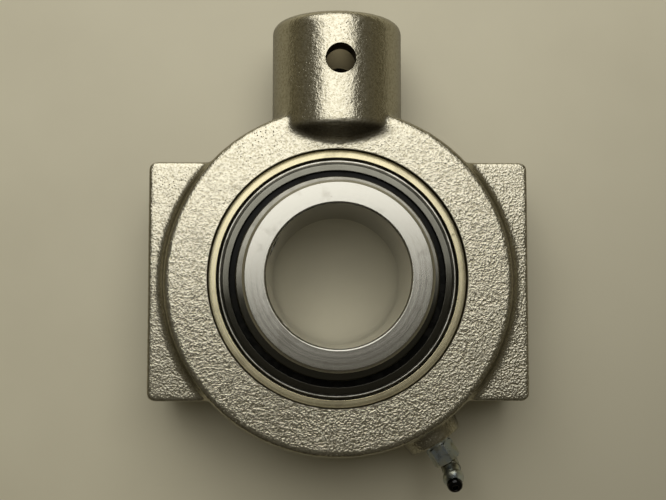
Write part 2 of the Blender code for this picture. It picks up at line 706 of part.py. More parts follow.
def build_grease_fitting(parent, material, ball_material, spring_material):
    """An angled fitting: shank and hexagon on the boss, and a head bent towards the front."""
    out = radial(BOSS_ANGLE)
    up = Vector((0, 0, 1))
    turn = Matrix((up, out.cross(up), out)).transposed()
    turn = turn @ Matrix.Rotation(math.radians(FITTING_TURN), 3, "Z")
    base = frame("fitting_base", parent, out * BOSS_END, turn)
    hex_foot = FITTING_COLLAR
    hex_top = hex_foot + FITTING_HEX_LENGTH
    hex_corner = FITTING_HEX / math.sqrt(3)
    shank = SHANK_DIAMETER / 2
    shank_profile = [
        (0, -SHANK_LENGTH),
        (shank - SHEET / 2, -SHANK_LENGTH),
        (shank, -SHANK_LENGTH + SHEET / 2),
        (shank, PRESS_GAP),
        (FITTING_HEX / 2, PRESS_GAP),
        (FITTING_HEX / 2, hex_foot + SHEET),
        (0, hex_foot + SHEET),
    ]
    fitting = piece("grease_fitting", turned(shank_profile, SMALL_SIDES), base, material)

    hexagon = helper("fitting_hexagon", rod(hex_corner, (0, 0, hex_foot), (0, 0, hex_top), 6), base)
    bevel = hex_corner - FITTING_HEX / 2
    round_off = [
        (0, hex_foot),
        (FITTING_HEX / 2, hex_foot),
        (hex_corner, hex_foot + bevel),
        (hex_corner, hex_top - bevel),
        (FITTING_HEX / 2, hex_top),
        (0, hex_top),
    ]
    bevelled = helper("fitting_hexagon_trim", turned(round_off, SMALL_SIDES), base)
    combine(hexagon, bevelled, "INTERSECT")
    combine(fitting, hexagon, "UNION")

    # The bend turns towards local +X, the way the fitting's head leans
    neck = FITTING_NECK_DIAMETER / 2
    bend = math.radians(FITTING_BEND)
    start = hex_top - SHEET
    centre = Vector((FITTING_BEND_RADIUS, 0, start))
    bm = bmesh.new()
    bmesh.ops.create_circle(
        bm, cap_ends=True, segments=SMALL_SIDES, radius=neck, matrix=Matrix.Translation((0, 0, start))
    )
    bmesh.ops.spin(
        bm, geom=bm.faces[:], cent=centre, axis=(0, 1, 0), angle=bend, steps=FILLET_STEPS
    )
    elbow = helper("fitting_elbow", bm, base)
    combine(fitting, elbow, "UNION")

    direction = Vector((math.sin(bend), 0, math.cos(bend)))
    side = Vector((math.cos(bend), 0, -math.sin(bend)))
    head_foot = centre - side * FITTING_BEND_RADIUS
    tilt = Matrix((side, Vector((0, 1, 0)), direction)).transposed()
    head = frame("fitting_head", base, head_foot, tilt)
    widest = FITTING_HEAD_DIAMETER / 2
    groove = FITTING_GROOVE_DIAMETER / 2
    nose = FITTING_NOSE_DIAMETER / 2
    length = FITTING_HEAD_LENGTH
    rounding = nose / 2
    groove_foot = FITTING_HEAD_NECK + FITTING_HEAD_RAMP
    groove_top = groove_foot + FITTING_GROOVE_WIDTH
    ridge_foot = groove_top + FITTING_HEAD_RAMP
    ridge_top = ridge_foot + FITTING_RIDGE_WIDTH
    head_profile = [
        (0, -SHEET),
        (neck - FITTING_HEAD_STEP, -SHEET),
        (neck - FITTING_HEAD_STEP, FITTING_HEAD_NECK),
        (groove, groove_foot),
        (groove, groove_top),
        (widest, ridge_foot),
        (widest, ridge_top),
        (widest - FITTING_RIDGE_DROP, ridge_top + FITTING_RIDGE_TAPER),
        (nose, length - rounding),
        *arc((nose - rounding, length - rounding), rounding, 0, 90, EDGE_STEPS)[1:],
        (0, length),
    ]
    head_body = helper("fitting_head_body", turned(head_profile, SMALL_SIDES), head)
    combine(fitting, head_body, "UNION")

    # Two drillings meet inside the bend: one up the shank, and one down the head, whose check
    # ball has a wider chamber and a narrower mouth
    corner = FITTING_BEND_RADIUS * math.tan(bend / 2)
    drill_foot = (0, 0, -SHANK_LENGTH - CUT_MARGIN)
    drill_end = (0, 0, start + corner - FITTING_BORE_MEET / 2)
    drill = rod(FITTING_BORE / 2, drill_foot, drill_end, FINE_HOLE_SIDES)
    combine(fitting, helper("fitting_drill", drill, base), "DIFFERENCE")
    chamber = CHECK_CHAMBER_DIAMETER / 2
    mouth = CHECK_MOUTH_DIAMETER / 2
    chamber_end = length - CHECK_MOUTH_WALL
    chamber_foot = SHEET
    passage = [
        (0, -corner - FITTING_BORE_MEET),
        (FITTING_BORE / 2, -corner - FITTING_BORE_MEET),
        (FITTING_BORE / 2, chamber_foot),
        (chamber, chamber_foot),
        (chamber, chamber_end),
        (mouth, chamber_end),
        (mouth, length + CUT_MARGIN),
        (0, length + CUT_MARGIN),
    ]
    passage_cut = helper("fitting_passage", turned(passage, SMALL_SIDES), head)
    combine(fitting, passage_cut, "DIFFERENCE")

    ball_radius = CHECK_BALL_DIAMETER / 2
    drop = math.sqrt((ball_radius + CHECK_SEAT_GAP) ** 2 - mouth**2)
    ball_height = chamber_end - drop
    bm = bmesh.new()
    bmesh.ops.create_uvsphere(bm, u_segments=BALL_SIDES, v_segments=8, radius=ball_radius)
    piece("grease_check_ball", bm, head, ball_material, (0, 0, ball_height))

    build_spring(head, spring_material, chamber_foot + PRESS_GAP, ball_height - ball_radius)


def build_spring(parent, material, foot, top):
    """A coil spring between the chamber's floor and the check ball."""
    coil = CHECK_CHAMBER_DIAMETER / 2 - PRESS_GAP - SPRING_WIRE / 2
    low = foot + SPRING_WIRE / 2
    high = top - CHECK_SEAT_GAP - SPRING_WIRE / 2
    steps = SPRING_TURNS * SPRING_STEPS
    curve = bpy.data.curves.new("grease_spring", "CURVE")
    curve.dimensions = "3D"
    curve.bevel_depth = SPRING_WIRE / 2
    curve.bevel_resolution = 0
    curve.use_fill_caps = True
    spline = curve.splines.new("POLY")
    spline.points.add(steps)
    for i, point in enumerate(spline.points):
        angle = 2 * math.pi * SPRING_TURNS * i / steps
        height = low + (high - low) * i / steps
        point.co = (coil * math.cos(angle), coil * math.sin(angle), height, 1)
    curve.materials.append(material)
    spring = bpy.data.objects.new("grease_spring", curve)
    bpy.context.collection.objects.link(spring)
    spring.parent = parent
    return spring


def stand_on_ground(carrier):
    """Moves the unit so that its box is centred on the origin and rests on Z = 0."""
    bpy.context.view_layer.update()
    graph = bpy.context.evaluated_depsgraph_get()
    corners = []
    for shape in bpy.data.objects:
        if shape.type == "EMPTY" or shape.hide_render:
            continue
        evaluated = shape.evaluated_get(graph)
        mesh = evaluated.to_mesh()
        corners.extend(evaluated.matrix_world @ point.co for point in mesh.vertices)
        evaluated.to_mesh_clear()
    low = Vector([min(point[i] for point in corners) for i in range(3)])
    high = Vector([max(point[i] for point in corners) for i in range(3)])
    carrier.location = (-(low.x + high.x) / 2, -(low.y + high.y) / 2, -low.z)
    bpy.context.view_layer.update()


def main():
    clear_scene()
    cast = finish("nickel plated cast iron", (0.62, 0.58, 0.50), 0.42, 0.9)
    ground = finish("ground bearing steel", (0.80, 0.78, 0.72), 0.22, 1.0)
    race = finish("plated outer ring", (0.74, 0.70, 0.56), 0.30, 1.0)
    sheet = finish("pressed steel", (0.52, 0.51, 0.48), 0.38, 1.0)
    rubber = finish("black rubber", (0.02, 0.02, 0.02), 0.55, 0.0)
    nylon = finish("cage nylon", (0.42, 0.36, 0.24), 0.45, 0.0)
    polished = finish("polished ball steel", (0.75, 0.75, 0.76), 0.10, 1.0)
    blackened = finish("blackened screw steel", (0.10, 0.09, 0.08), 0.40, 0.9)
    zinc = finish("zinc plated steel", (0.45, 0.47, 0.48), 0.35, 1.0)
    wire = finish("spring wire", (0.50, 0.50, 0.50), 0.30, 1.0)

    unit = frame("take_up_unit")
    build_housing(unit, cast)
    build_grease_fitting(unit, zinc, polished, wire)

    insert = frame("bearing_insert", unit)
    build_outer_ring(insert, race)
    build_pair("seal_shield", shield_profile(), insert, sheet)
    build_pair("seal_lip", lip_profile(), insert, rubber)
    build_cage(insert, nylon)
    build_balls(insert, polished)

    shaft_side = frame("shaft_side", insert)
    build_inner_ring(shaft_side, ground)
    build_pair("slinger", slinger_profile(), shaft_side, sheet)
    build_set_screws(shaft_side, blackened)
    stand_on_ground(unit)


main()
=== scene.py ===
# %% [markdown]
# # A take-up bearing unit
#
# A take-up unit keeps a conveyor belt tight. Its casting slides between two rails, an adjusting
# screw pushes on the tubular nose, and a self-aligning ball bearing in the middle carries the
# shaft. The solids of every piece come ready made and say where things are. This lesson gives
# them their surfaces: sand-cast grain under nickel plate, ground and turned steel, dark oily
# seals, and a zinc plated grease fitting.

# %% Load the solids and keep their box
import math

import bmesh
import bpy
from mathutils import Matrix, Quaternion, Vector, noise


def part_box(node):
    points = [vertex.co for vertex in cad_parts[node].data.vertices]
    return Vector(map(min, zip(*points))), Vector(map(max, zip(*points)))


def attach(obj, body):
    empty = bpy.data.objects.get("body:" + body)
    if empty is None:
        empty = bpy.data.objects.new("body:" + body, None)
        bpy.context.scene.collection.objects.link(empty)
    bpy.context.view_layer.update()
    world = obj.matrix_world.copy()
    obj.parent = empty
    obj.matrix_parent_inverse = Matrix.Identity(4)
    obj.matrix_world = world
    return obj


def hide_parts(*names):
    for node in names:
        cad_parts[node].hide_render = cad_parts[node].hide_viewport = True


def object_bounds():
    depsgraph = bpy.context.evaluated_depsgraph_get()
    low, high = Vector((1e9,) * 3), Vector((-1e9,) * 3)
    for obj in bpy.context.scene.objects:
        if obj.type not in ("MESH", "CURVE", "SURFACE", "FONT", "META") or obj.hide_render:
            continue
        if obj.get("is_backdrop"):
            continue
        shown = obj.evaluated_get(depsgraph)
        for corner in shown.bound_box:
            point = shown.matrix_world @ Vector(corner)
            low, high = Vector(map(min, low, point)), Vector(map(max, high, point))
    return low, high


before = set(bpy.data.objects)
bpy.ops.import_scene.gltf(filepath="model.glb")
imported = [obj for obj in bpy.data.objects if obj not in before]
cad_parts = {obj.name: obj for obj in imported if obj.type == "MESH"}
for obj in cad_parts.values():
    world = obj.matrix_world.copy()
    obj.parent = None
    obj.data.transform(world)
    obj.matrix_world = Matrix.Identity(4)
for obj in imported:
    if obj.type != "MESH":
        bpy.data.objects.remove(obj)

MM = 0.001
solid_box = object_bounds()
ring_low, ring_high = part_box("outer_ring")
CENTRE = (Vector(ring_low) + Vector(ring_high)) / 2
print("bearing centre in mm", [round(c / MM, 3) for c in CENTRE])

# %% [markdown]
# ## Camera
#
# The photograph looks down on the unit from about a third of a metre, a little from the nose's
# far side. A camera's matrix could be typed as angles, but three directions are easier to
# reason about: where it looks, and then its right and its up, made square to that.

# %% Camera
PHOTO_WIDTH = 666
FOCAL_PIXELS = 1039
SENSOR = 36
looking = Vector((0.01588, 0.06449, -1)).normalized()
camera_right = Vector((0, 1, 0)).cross(-looking).normalized()
camera_up = (-looking).cross(camera_right)

lens = bpy.data.cameras.new("photo_camera")
lens.sensor_width = SENSOR
lens.lens = FOCAL_PIXELS / PHOTO_WIDTH * SENSOR
lens.clip_start = 0.01
camera = bpy.data.objects.new("photo_camera", lens)
bpy.context.collection.objects.link(camera)
camera.matrix_world = Matrix((camera_right, camera_up, -looking)).transposed().to_4x4()
camera.location = CENTRE + Vector((-6.55, -12.1, 335.2)) * MM
bpy.context.scene.camera = camera
bpy.context.scene.view_settings.view_transform = "Standard"
print("camera height over the floor in mm", round(camera.location.z / MM, 1))

# %% [markdown]
# ## Node helpers
#
# Materials here are built in code, so that every size in them can be read. One helper adds a
# node, sets its options and fills its sockets: a value is typed in, and another node's output is
# linked. A few more wrap the nodes that come back often, and the last one starts a group with
# named sockets.

# %% Node helpers
def add(tree, kind, sockets=None, **options):
    made = tree.nodes.new(kind)
    for name, value in options.items():
        setattr(made, name, value)
    for name, value in (sockets or {}).items():
        if isinstance(value, bpy.types.NodeSocket):
            tree.links.new(value, made.inputs[name])
        else:
            made.inputs[name].default_value = value
    return made


def maths(tree, operation, first, second=0.0, clamp=False):
    return add(
        tree, "ShaderNodeMath", {0: first, 1: second}, operation=operation, use_clamp=clamp
    ).outputs[0]


def times(tree, first, second, clamp=False):
    return maths(tree, "MULTIPLY", first, second, clamp)


def remap(tree, value, low, high, to_low=0.0, to_high=1.0):
    sockets = {"Value": value, "From Min": low, "From Max": high}
    sockets |= {"To Min": to_low, "To Max": to_high}
    return add(tree, "ShaderNodeMapRange", sockets, clamp=True).outputs[0]


def blend_colours(tree, factor, first, second):
    sockets = {0: factor, 6: first, 7: second}
    return add(tree, "ShaderNodeMix", sockets, data_type="RGBA").outputs[2]


def clouds(tree, vector, scale, detail, roughness=0.5):
    sockets = {"Vector": vector, "Scale": scale, "Detail": detail, "Roughness": roughness}
    return add(tree, "ShaderNodeTexNoise", sockets).outputs


def parts(tree, vector):
    return add(tree, "ShaderNodeSeparateXYZ", {0: vector}).outputs


def new_group(name, inputs, outputs):
    group = bpy.data.node_groups.new(name, "ShaderNodeTree")
    for label, kind, value in inputs:
        socket = group.interface.new_socket(name=label, in_out="INPUT", socket_type=kind)
        socket.default_value = value
    for label, kind in outputs:
        group.interface.new_socket(name=label, in_out="OUTPUT", socket_type=kind)
    return group, group.nodes.new("NodeGroupInput"), group.nodes.new("NodeGroupOutput")


NUMBER = "NodeSocketFloat"
ARROW = "NodeSocketVector"

# %% [markdown]
# ## Light, floor and surroundings
#
# Metal looks like what it reflects, so the surroundings matter as much as the lamp. The picture
# has one wide soft light beyond the nose, and a dim warm room everywhere else: tops that face
# the light shine, and slopes that face away go olive brown. A lamp 0.60 m wide and 0.86 m long,
# about 0.6 m away, gives that and the soft shadow. Its near edge is just past the mirror
# direction of the bearing's lower half, which is why that half stays dark. The lamp is turned a
# little about its own axis, so the light reaches further down on the left than on the right.

# %% World
world = bpy.data.worlds.new("dim_room")
bpy.context.scene.world = world
world.use_nodes = True
tree = world.node_tree
direction = add(tree, "ShaderNodeTexCoord").outputs["Generated"]
heading = parts(tree, direction)
lit_side = remap(tree, heading["Y"], -0.75, 0.15)
walls = blend_colours(tree, lit_side, (0.022, 0.018, 0.011, 1), (0.15, 0.13, 0.078, 1))
room = blend_colours(tree, remap(tree, heading["Z"], 0.05, 0.95), walls, (0.100, 0.093, 0.074, 1))
tree.nodes["Background"].inputs["Strength"].default_value = 1.0
tree.links.new(room, tree.nodes["Background"].inputs["Color"])

# %% Lamps
def lamp(name, place, target, size, roll, watts, colour):
    light = bpy.data.lights.new(name, "AREA")
    light.shape = "RECTANGLE"
    light.size, light.size_y = size
    light.energy = watts
    light.color = colour
    made = bpy.data.objects.new(name, light)
    bpy.context.collection.objects.link(made)
    made.location = CENTRE + Vector(place)
    away = made.location - (CENTRE + Vector(target))
    turned = away.to_track_quat("Z", "Y") @ Quaternion((0, 0, 1), math.radians(roll))
    made.rotation_euler = turned.to_euler()
    print(name, "at mm", [round(c / MM) for c in made.location])


lamp("wide_lamp", (-0.04, 0.38, 0.46), (0, 0, 0), (0.60, 0.86), 6, 3.25, (1, 0.985, 0.95))

# %% Floor
FLOOR_SIZE = 3.0
bm = bmesh.new()
bmesh.ops.create_grid(bm, x_segments=1, y_segments=1, size=FLOOR_SIZE / 2)
floor_mesh = bpy.data.meshes.new("table_top")
bm.to_mesh(floor_mesh)
bm.free()
floor = bpy.data.objects.new("table_top", floor_mesh)
bpy.context.collection.objects.link(floor)
floor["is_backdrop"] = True

table_top = bpy.data.materials.new("table_top")
table_top.use_nodes = True
tree = table_top.node_tree
spot = add(tree, "ShaderNodeTexCoord").outputs["Object"]
cloud = remap(tree, clouds(tree, spot, 22.0, 5.0)[0], 0.35, 0.7)
colour = blend_colours(tree, cloud, (0.700, 0.656, 0.490, 1), (0.662, 0.618, 0.460, 1))
# The table is darker towards one corner: painted shade where the lamp's light falls off.
across = parts(tree, spot)
corner = maths(tree, "SUBTRACT", across["X"], across["Y"])
shaded = blend_colours(tree, remap(tree, corner, 0.02, 0.20), colour, (0.54, 0.507, 0.383, 1))
shader = tree.nodes["Principled BSDF"]
tree.links.new(shaded, shader.inputs["Base Color"])
shader.inputs["Roughness"].default_value = 0.55
floor_mesh.materials.append(table_top)

# %% [markdown]
# ## Surface effects
#
# Five effects are shared by the finishes, so each is a node group with named sockets. All sizes
# are real ones, in metres. *Cast skin* is what sand leaves on iron: rounded grains a millimetre
# or so across, finer grit on them, and a few pits. Stacked noise gives it at every scale.

# %% Cast skin
def cast_skin_group():
    group, inside, out = new_group(
        "cast skin",
        [("Vector", ARROW, (0, 0, 0)), ("Grain", NUMBER, 0.0012), ("Pits", NUMBER, 0.5)],
        [("Height", NUMBER), ("Pit mask", NUMBER)],
    )
    vector = inside.outputs["Vector"]
    per_metre = maths(group, "DIVIDE", 1.0, inside.outputs["Grain"])
    grains = clouds(group, vector, per_metre, 1.5, 0.6)[0]
    grit = clouds(group, vector, times(group, per_metre, 3.1), 2.0)[0]
    wide = times(group, per_metre, 0.62)
    cells = add(group, "ShaderNodeTexVoronoi", {"Vector": vector, "Scale": wide}).outputs[0]
    patches = clouds(group, vector, 60.0, 2.0)[0]
    dots = remap(group, cells, 0.20, 0.10)
    pits = times(group, dots, remap(group, patches, 0.50, 0.62))
    pits = times(group, pits, inside.outputs["Pits"])
    skin = maths(group, "ADD", grains, times(group, grit, 0.12))
    group.links.new(
        maths(group, "SUBTRACT", skin, times(group, pits, 0.8)), out.inputs["Height"]
    )
    group.links.new(pits, out.inputs["Pit mask"])
    return group


cast_skin = cast_skin_group()

# %% [markdown]
# *Turning marks* follow the tool round an axis. They depend only on the distance from the axis
# and the height along it, so a noise is read along one line and swept round. The same lines,
# read more coarsely, vary the shine from ring to ring.

# %% Turning marks
def turning_marks_group():
    group, inside, out = new_group(
        "turning marks",
        [("Vector", ARROW, (0, 0, 0)), ("Axis point", ARROW, (0, 0, 0)), ("Pitch", NUMBER, 0.0002)],
        [("Height", NUMBER), ("Streak", NUMBER), ("Radius", NUMBER)],
    )
    arm = add(
        group,
        "ShaderNodeVectorMath",
        {0: inside.outputs["Vector"], 1: inside.outputs["Axis point"]},
        operation="SUBTRACT",
    ).outputs[0]
    reach = parts(group, arm)
    flat = add(group, "ShaderNodeCombineXYZ", {0: reach[0], 1: reach[1]}).outputs[0]
    radius = add(group, "ShaderNodeVectorMath", {0: flat}, operation="LENGTH").outputs["Value"]
    lane = maths(group, "ADD", radius, times(group, reach[2], 0.8))
    lane = maths(group, "DIVIDE", lane, inside.outputs["Pitch"])
    for label, scale, detail in (("Height", 1.0, 2.0), ("Streak", 0.13, 3.0)):
        sockets = {"W": lane, "Scale": scale, "Detail": detail}
        lines = add(group, "ShaderNodeTexNoise", sockets, noise_dimensions="1D").outputs[0]
        group.links.new(lines, out.inputs[label])
    group.links.new(radius, out.inputs["Radius"])
    return group


turning_marks = turning_marks_group()

# %% [markdown]
# *Soil and shade* is oil and dust that gathers in patches, and painted shade in corners. Patches
# are a noise with its low end cut away. The corner shade is found by ambient occlusion, which is
# dark where surfaces meet.
# *Flecks* are the separate dark specks that dirt leaves on bright steel.

# %% Soil, corner shade and flecks
def soil_and_shade_group():
    group, inside, out = new_group(
        "soil_and_shade",
        [("Vector", ARROW, (0, 0, 0)), ("Patch size", NUMBER, 0.006),
         ("Cover", NUMBER, 0.4), ("Corner reach", NUMBER, 0.002)],
        [("Patches", NUMBER), ("Corner shade", NUMBER)],
    )
    per_metre = maths(group, "DIVIDE", 1.0, inside.outputs["Patch size"])
    cloud = clouds(group, inside.outputs["Vector"], per_metre, 6.0, 0.6)[0]
    edge = maths(group, "SUBTRACT", 0.80, times(group, inside.outputs["Cover"], 0.5))
    patches = remap(group, cloud, edge, maths(group, "ADD", edge, 0.16))
    distance = {"Distance": inside.outputs["Corner reach"]}
    # Ambient occlusion: painted shade, darker where surfaces meet.
    hidden = add(group, "ShaderNodeAmbientOcclusion", distance, samples=6).outputs["AO"]
    group.links.new(patches, out.inputs["Patches"])
    group.links.new(remap(group, hidden, 0.85, 0.35), out.inputs["Corner shade"])
    return group


def flecks_group():
    group, inside, out = new_group(
        "flecks",
        [("Vector", ARROW, (0, 0, 0)), ("Spacing", NUMBER, 0.002), ("Amount", NUMBER, 0.4)],
        [("Mask", NUMBER)],
    )
    per_metre = maths(group, "DIVIDE", 1.0, inside.outputs["Spacing"])
    vector = inside.outputs["Vector"]
    wander = clouds(group, vector, times(group, per_metre, 1.7), 3.0)[1]
    bent = add(
        group,
        "ShaderNodeVectorMath",
        {0: wander, 1: (0.0009, 0.0009, 0.0009), 2: vector},
        operation="MULTIPLY_ADD",
    ).outputs[0]
    cells = add(group, "ShaderNodeTexVoronoi", {"Vector": bent, "Scale": per_metre})
    chance = add(group, "ShaderNodeSeparateColor", {0: cells.outputs["Color"]}).outputs[0]
    chosen = maths(group, "LESS_THAN", chance, inside.outputs["Amount"])
    spread = times(group, chance, 0.55)
    dots = remap(group, cells.outputs["Distance"], maths(group, "ADD", spread, 0.10), 0.06)
    group.links.new(times(group, dots, chosen), out.inputs["Mask"])
    return group


soil_and_shade = soil_and_shade_group()
flecks = flecks_group()

# %% [markdown]
# *Soft edges* rounds a piece's edges by a fraction of a millimetre in its shading, as tumbling
# and plating do, and says how near an edge each point is. The mask comes from how far the
# rounded direction leans away from the true one.

# %% Soft edges
def soft_edges_group():
    group, inside, out = new_group(
        "soft edges",
        [("Radius", NUMBER, 0.0002)],
        [("Normal", ARROW), ("Edge", NUMBER)],
    )
    eased = add(
        group, "ShaderNodeBevel", {"Radius": inside.outputs["Radius"]}, samples=6
    ).outputs[0]
    true = add(group, "ShaderNodeNewGeometry").outputs["Normal"]
    alike = add(
        group, "ShaderNodeVectorMath", {0: eased, 1: true}, operation="DOT_PRODUCT"
    ).outputs["Value"]
    group.links.new(eased, out.inputs["Normal"])
    group.links.new(remap(group, alike, 0.995, 0.88), out.inputs["Edge"])
    return group


soft_edges = soft_edges_group()

# %% [markdown]
# ## Finishes
#
# Every finish starts the same way: a material with object coordinates ready to read. The
# Principled shader stays in the material, and the effects only feed its colour, roughness and
# bump. Dirt and painted corner shade come as several masks, each scaled by an amount, and where
# they overlap the heaviest one counts.

# %% Start of a finish
class Finish:
    """A material under construction, with its object coordinates and shader at hand."""

    def __init__(self, name, metallic, roughness):
        self.material = bpy.data.materials.new(name)
        self.material.use_nodes = True
        self.tree = self.material.node_tree
        self.shader = self.tree.nodes["Principled BSDF"]
        self.shader.inputs["Metallic"].default_value = metallic
        self.shader.inputs["Roughness"].default_value = roughness
        self.spot = add(self.tree, "ShaderNodeTexCoord").outputs["Object"]

    def effect(self, group, sockets):
        made = add(self.tree, "ShaderNodeGroup", sockets, node_tree=group)
        if "Vector" in made.inputs:
            self.tree.links.new(self.spot, made.inputs["Vector"])
        return made.outputs

    def turned(self, pitch):
        return self.effect(turning_marks, {"Axis point": CENTRE, "Pitch": pitch})

    def soiled_and_shaded(self, patch_size, cover, reach):
        sockets = {"Patch size": patch_size, "Cover": cover, "Corner reach": reach}
        return self.effect(soil_and_shade, sockets)

    def mix(self, factor, first, second):
        return blend_colours(self.tree, factor, first, second)

    def remap(self, value, *limits):
        return remap(self.tree, value, *limits)

    def scaled(self, mask, amount, clamp=False):
        return times(self.tree, mask, amount, clamp)

    def heaviest(self, *masks):
        most = masks[0]
        for mask in masks[1:]:
            most = maths(self.tree, "MAXIMUM", most, mask)
        return most

    def feed(self, name, value):
        self.tree.links.new(value, self.shader.inputs[name])

    def bump(self, height, depth, under=None):
        sockets = {"Height": height, "Distance": depth, "Strength": 1.0}
        if under is not None:
            sockets["Normal"] = under
        return add(self.tree, "ShaderNodeBump", sockets).outputs[0]

# %% [markdown]
# The casting is iron under a thin warm nickel plate. Fine grit makes it sparkle. Olive brown grime
# sits in pits and patches. The same dark colour is painted shade in corners, thinly on steep sides,
# and most of all in the hollow at the foot of the nose, where a stretched ball of space is the
# mask. The mould was coarser on one side, so the relief is multiplied by a slow change across the
# part.

# %% Nickel plated casting
FOOT_PLACE, FOOT_SIZE = Vector((1.15, 46.0, 15.5)) * MM, Vector((15.5, 4.0, 6.5)) * MM
casting = Finish("nickel_casting", 1.0, 0.24)
tree = casting.tree
skin = casting.effect(cast_skin, {"Grain": 0.00066, "Pits": 1.0})
dirt_and_shade = casting.soiled_and_shaded(0.012, 0.45, 0.010)
plate = casting.mix(
    casting.remap(skin["Height"], 0.38, 0.64), (0.38, 0.35, 0.255, 1), (0.56, 0.53, 0.425, 1)
)
facing = add(tree, "ShaderNodeNewGeometry").outputs["Normal"]
upright = parts(tree, facing)["Z"]
per_size = Vector([1 / length for length in FOOT_SIZE])
origin = [-place * scale for place, scale in zip(CENTRE + FOOT_PLACE, per_size)]
from_foot = add(
    tree, "ShaderNodeMapping", {"Vector": casting.spot, "Location": origin, "Scale": per_size}
).outputs[0]
reach = add(tree, "ShaderNodeVectorMath", {0: from_foot}, operation="LENGTH").outputs["Value"]
grime_and_shade = casting.heaviest(
    # painted shade in corners and gaps, from ambient occlusion
    casting.scaled(dirt_and_shade["Corner shade"], 3.2, clamp=True),
    casting.scaled(skin["Pit mask"], 0.9),
    casting.scaled(dirt_and_shade["Patches"], 0.18),
    # painted shade on steep sides
    casting.remap(upright, 0.8, 0.2, 0.0, 0.7),
    # painted shade in the hollow at the foot of the nose
    casting.remap(reach, 1.12, 0.75, 0.0, 0.82),
)
# Grime and painted shade take one dark olive colour.
casting.feed("Base Color", casting.mix(grime_and_shade, plate, (0.055, 0.045, 0.028, 1)))
casting.feed("Roughness", casting.remap(grime_and_shade, 0.0, 1.0, 0.24, 0.50))
across = parts(tree, casting.spot)
relief = casting.remap(maths(tree, "SUBTRACT", across["X"], across["Y"]), -0.05, 0.08, 0.45, 1.25)
casting.feed("Normal", casting.bump(casting.scaled(skin["Height"], relief), 0.00019))

# %% [markdown]
# Where the casting was machined before plating the skin is gone: only faint tool marks are left,
# and the plate is smoother. The seat and the guide slots are like this. The bores are painted
# darker, as painted shade inside them. On both, corners get painted shade.

# %% Machined and plated faces
def machined_plate(name, light, dark, grime_and_shade_colour, roughness):
    plate = Finish(name, 1.0, roughness)
    marks = plate.turned(0.00018)
    dirt_and_shade = plate.soiled_and_shaded(0.009, 0.5, 0.004)
    grime_and_shade = plate.heaviest(
        # dust patches, and painted shade in corners
        plate.scaled(dirt_and_shade["Patches"], 0.35), plate.scaled(dirt_and_shade["Corner shade"], 0.8)
    )
    metal = plate.mix(marks["Streak"], dark, light)
    plate.feed("Base Color", plate.mix(grime_and_shade, metal, grime_and_shade_colour))
    plate.feed("Roughness", plate.remap(marks["Streak"], 0.3, 0.7, roughness, roughness + 0.12))
    plate.feed("Normal", plate.bump(marks["Height"], 0.000012))
    return plate.material


machined = machined_plate(
    "nickel_machined", (0.46, 0.42, 0.32, 1), (0.36, 0.33, 0.25, 1), (0.06, 0.05, 0.03, 1), 0.28
)
# The bores' dark colours are painted shade inside them.
shaded_bores = machined_plate(
    "bores_painted_shade", (0.16, 0.135, 0.08, 1), (0.10, 0.085, 0.05, 1), (0.03, 0.025, 0.015, 1), 0.42
)

# %% [markdown]
# The bearing's outer ring is ground and then dulled by handling: a creamy bright band with
# brown flecks. The inner ring's face is the whitest metal on the unit, with fine turning marks.
# The bore is polished by its shaft, and the side of it towards the nose is darkened: painted
# shade. These three and the balls share one recipe with different colours and amounts, and
# painted shade in their corners.

# %% Ground rings
SHADE_REACH = 18 * MM


def ground_steel(
    name, light, dark, stain_and_shade, roughness, flecked, streak_depth, spacing=0.0021, far_side_shade=0.0
):
    steel = Finish(name, 1.0, roughness)
    marks = steel.turned(0.00016)
    specks = steel.effect(flecks, {"Spacing": spacing, "Amount": flecked})["Mask"]
    dirt_and_shade = steel.soiled_and_shaded(0.007, 0.5, 0.0008)
    edge = steel.effect(soft_edges, {"Radius": 0.00018})
    metal = steel.mix(steel.remap(marks["Streak"], 0.3, 0.7), dark, light)
    smear_and_shade = steel.heaviest(
        steel.scaled(dirt_and_shade["Patches"], 0.30),
        steel.scaled(specks, 0.85),
        # painted shade in corners and gaps
        steel.scaled(dirt_and_shade["Corner shade"], 0.8),
    )
    # painted shade: the bore's side towards the nose is darkened
    towards_nose = parts(steel.tree, steel.spot)["Y"]
    far_shade = steel.remap(towards_nose, CENTRE.y, CENTRE.y + SHADE_REACH, 0.0, far_side_shade)
    dirty = steel.mix(smear_and_shade, metal, stain_and_shade)
    steel.feed("Base Color", steel.mix(far_shade, dirty, (0.03, 0.027, 0.02, 1)))
    shine = steel.remap(marks["Streak"], 0.3, 0.7, roughness - 0.02, roughness + 0.03)
    steel.feed("Roughness", shine)
    steel.feed("Normal", steel.bump(marks["Height"], streak_depth, edge["Normal"]))
    return steel.material


race_steel = ground_steel(
    "cream_race_steel",
    light=(0.66, 0.60, 0.40, 1), dark=(0.60, 0.545, 0.36, 1), stain_and_shade=(0.09, 0.065, 0.035, 1),
    roughness=0.25, flecked=0.26, streak_depth=0.0000015, spacing=0.0040,
)
ring_steel = ground_steel(
    "white_ground_steel",
    light=(0.50, 0.49, 0.44, 1), dark=(0.46, 0.45, 0.40, 1), stain_and_shade=(0.18, 0.16, 0.12, 1),
    roughness=0.22, flecked=0.03, streak_depth=0.0000018,
)
bore_steel = ground_steel(
    "polished_bore_steel",
    light=(0.99, 0.98, 0.94, 1), dark=(0.97, 0.96, 0.92, 1), stain_and_shade=(0.60, 0.57, 0.48, 1),
    roughness=0.12, flecked=0.02, streak_depth=0.000001, far_side_shade=0.7,
)
hidden_steel = ground_steel(
    "polished_ball_steel",
    light=(0.82, 0.82, 0.80, 1), dark=(0.78, 0.78, 0.76, 1), stain_and_shade=(0.30, 0.27, 0.20, 1),
    roughness=0.12, flecked=0.01, streak_depth=0.000001,
)
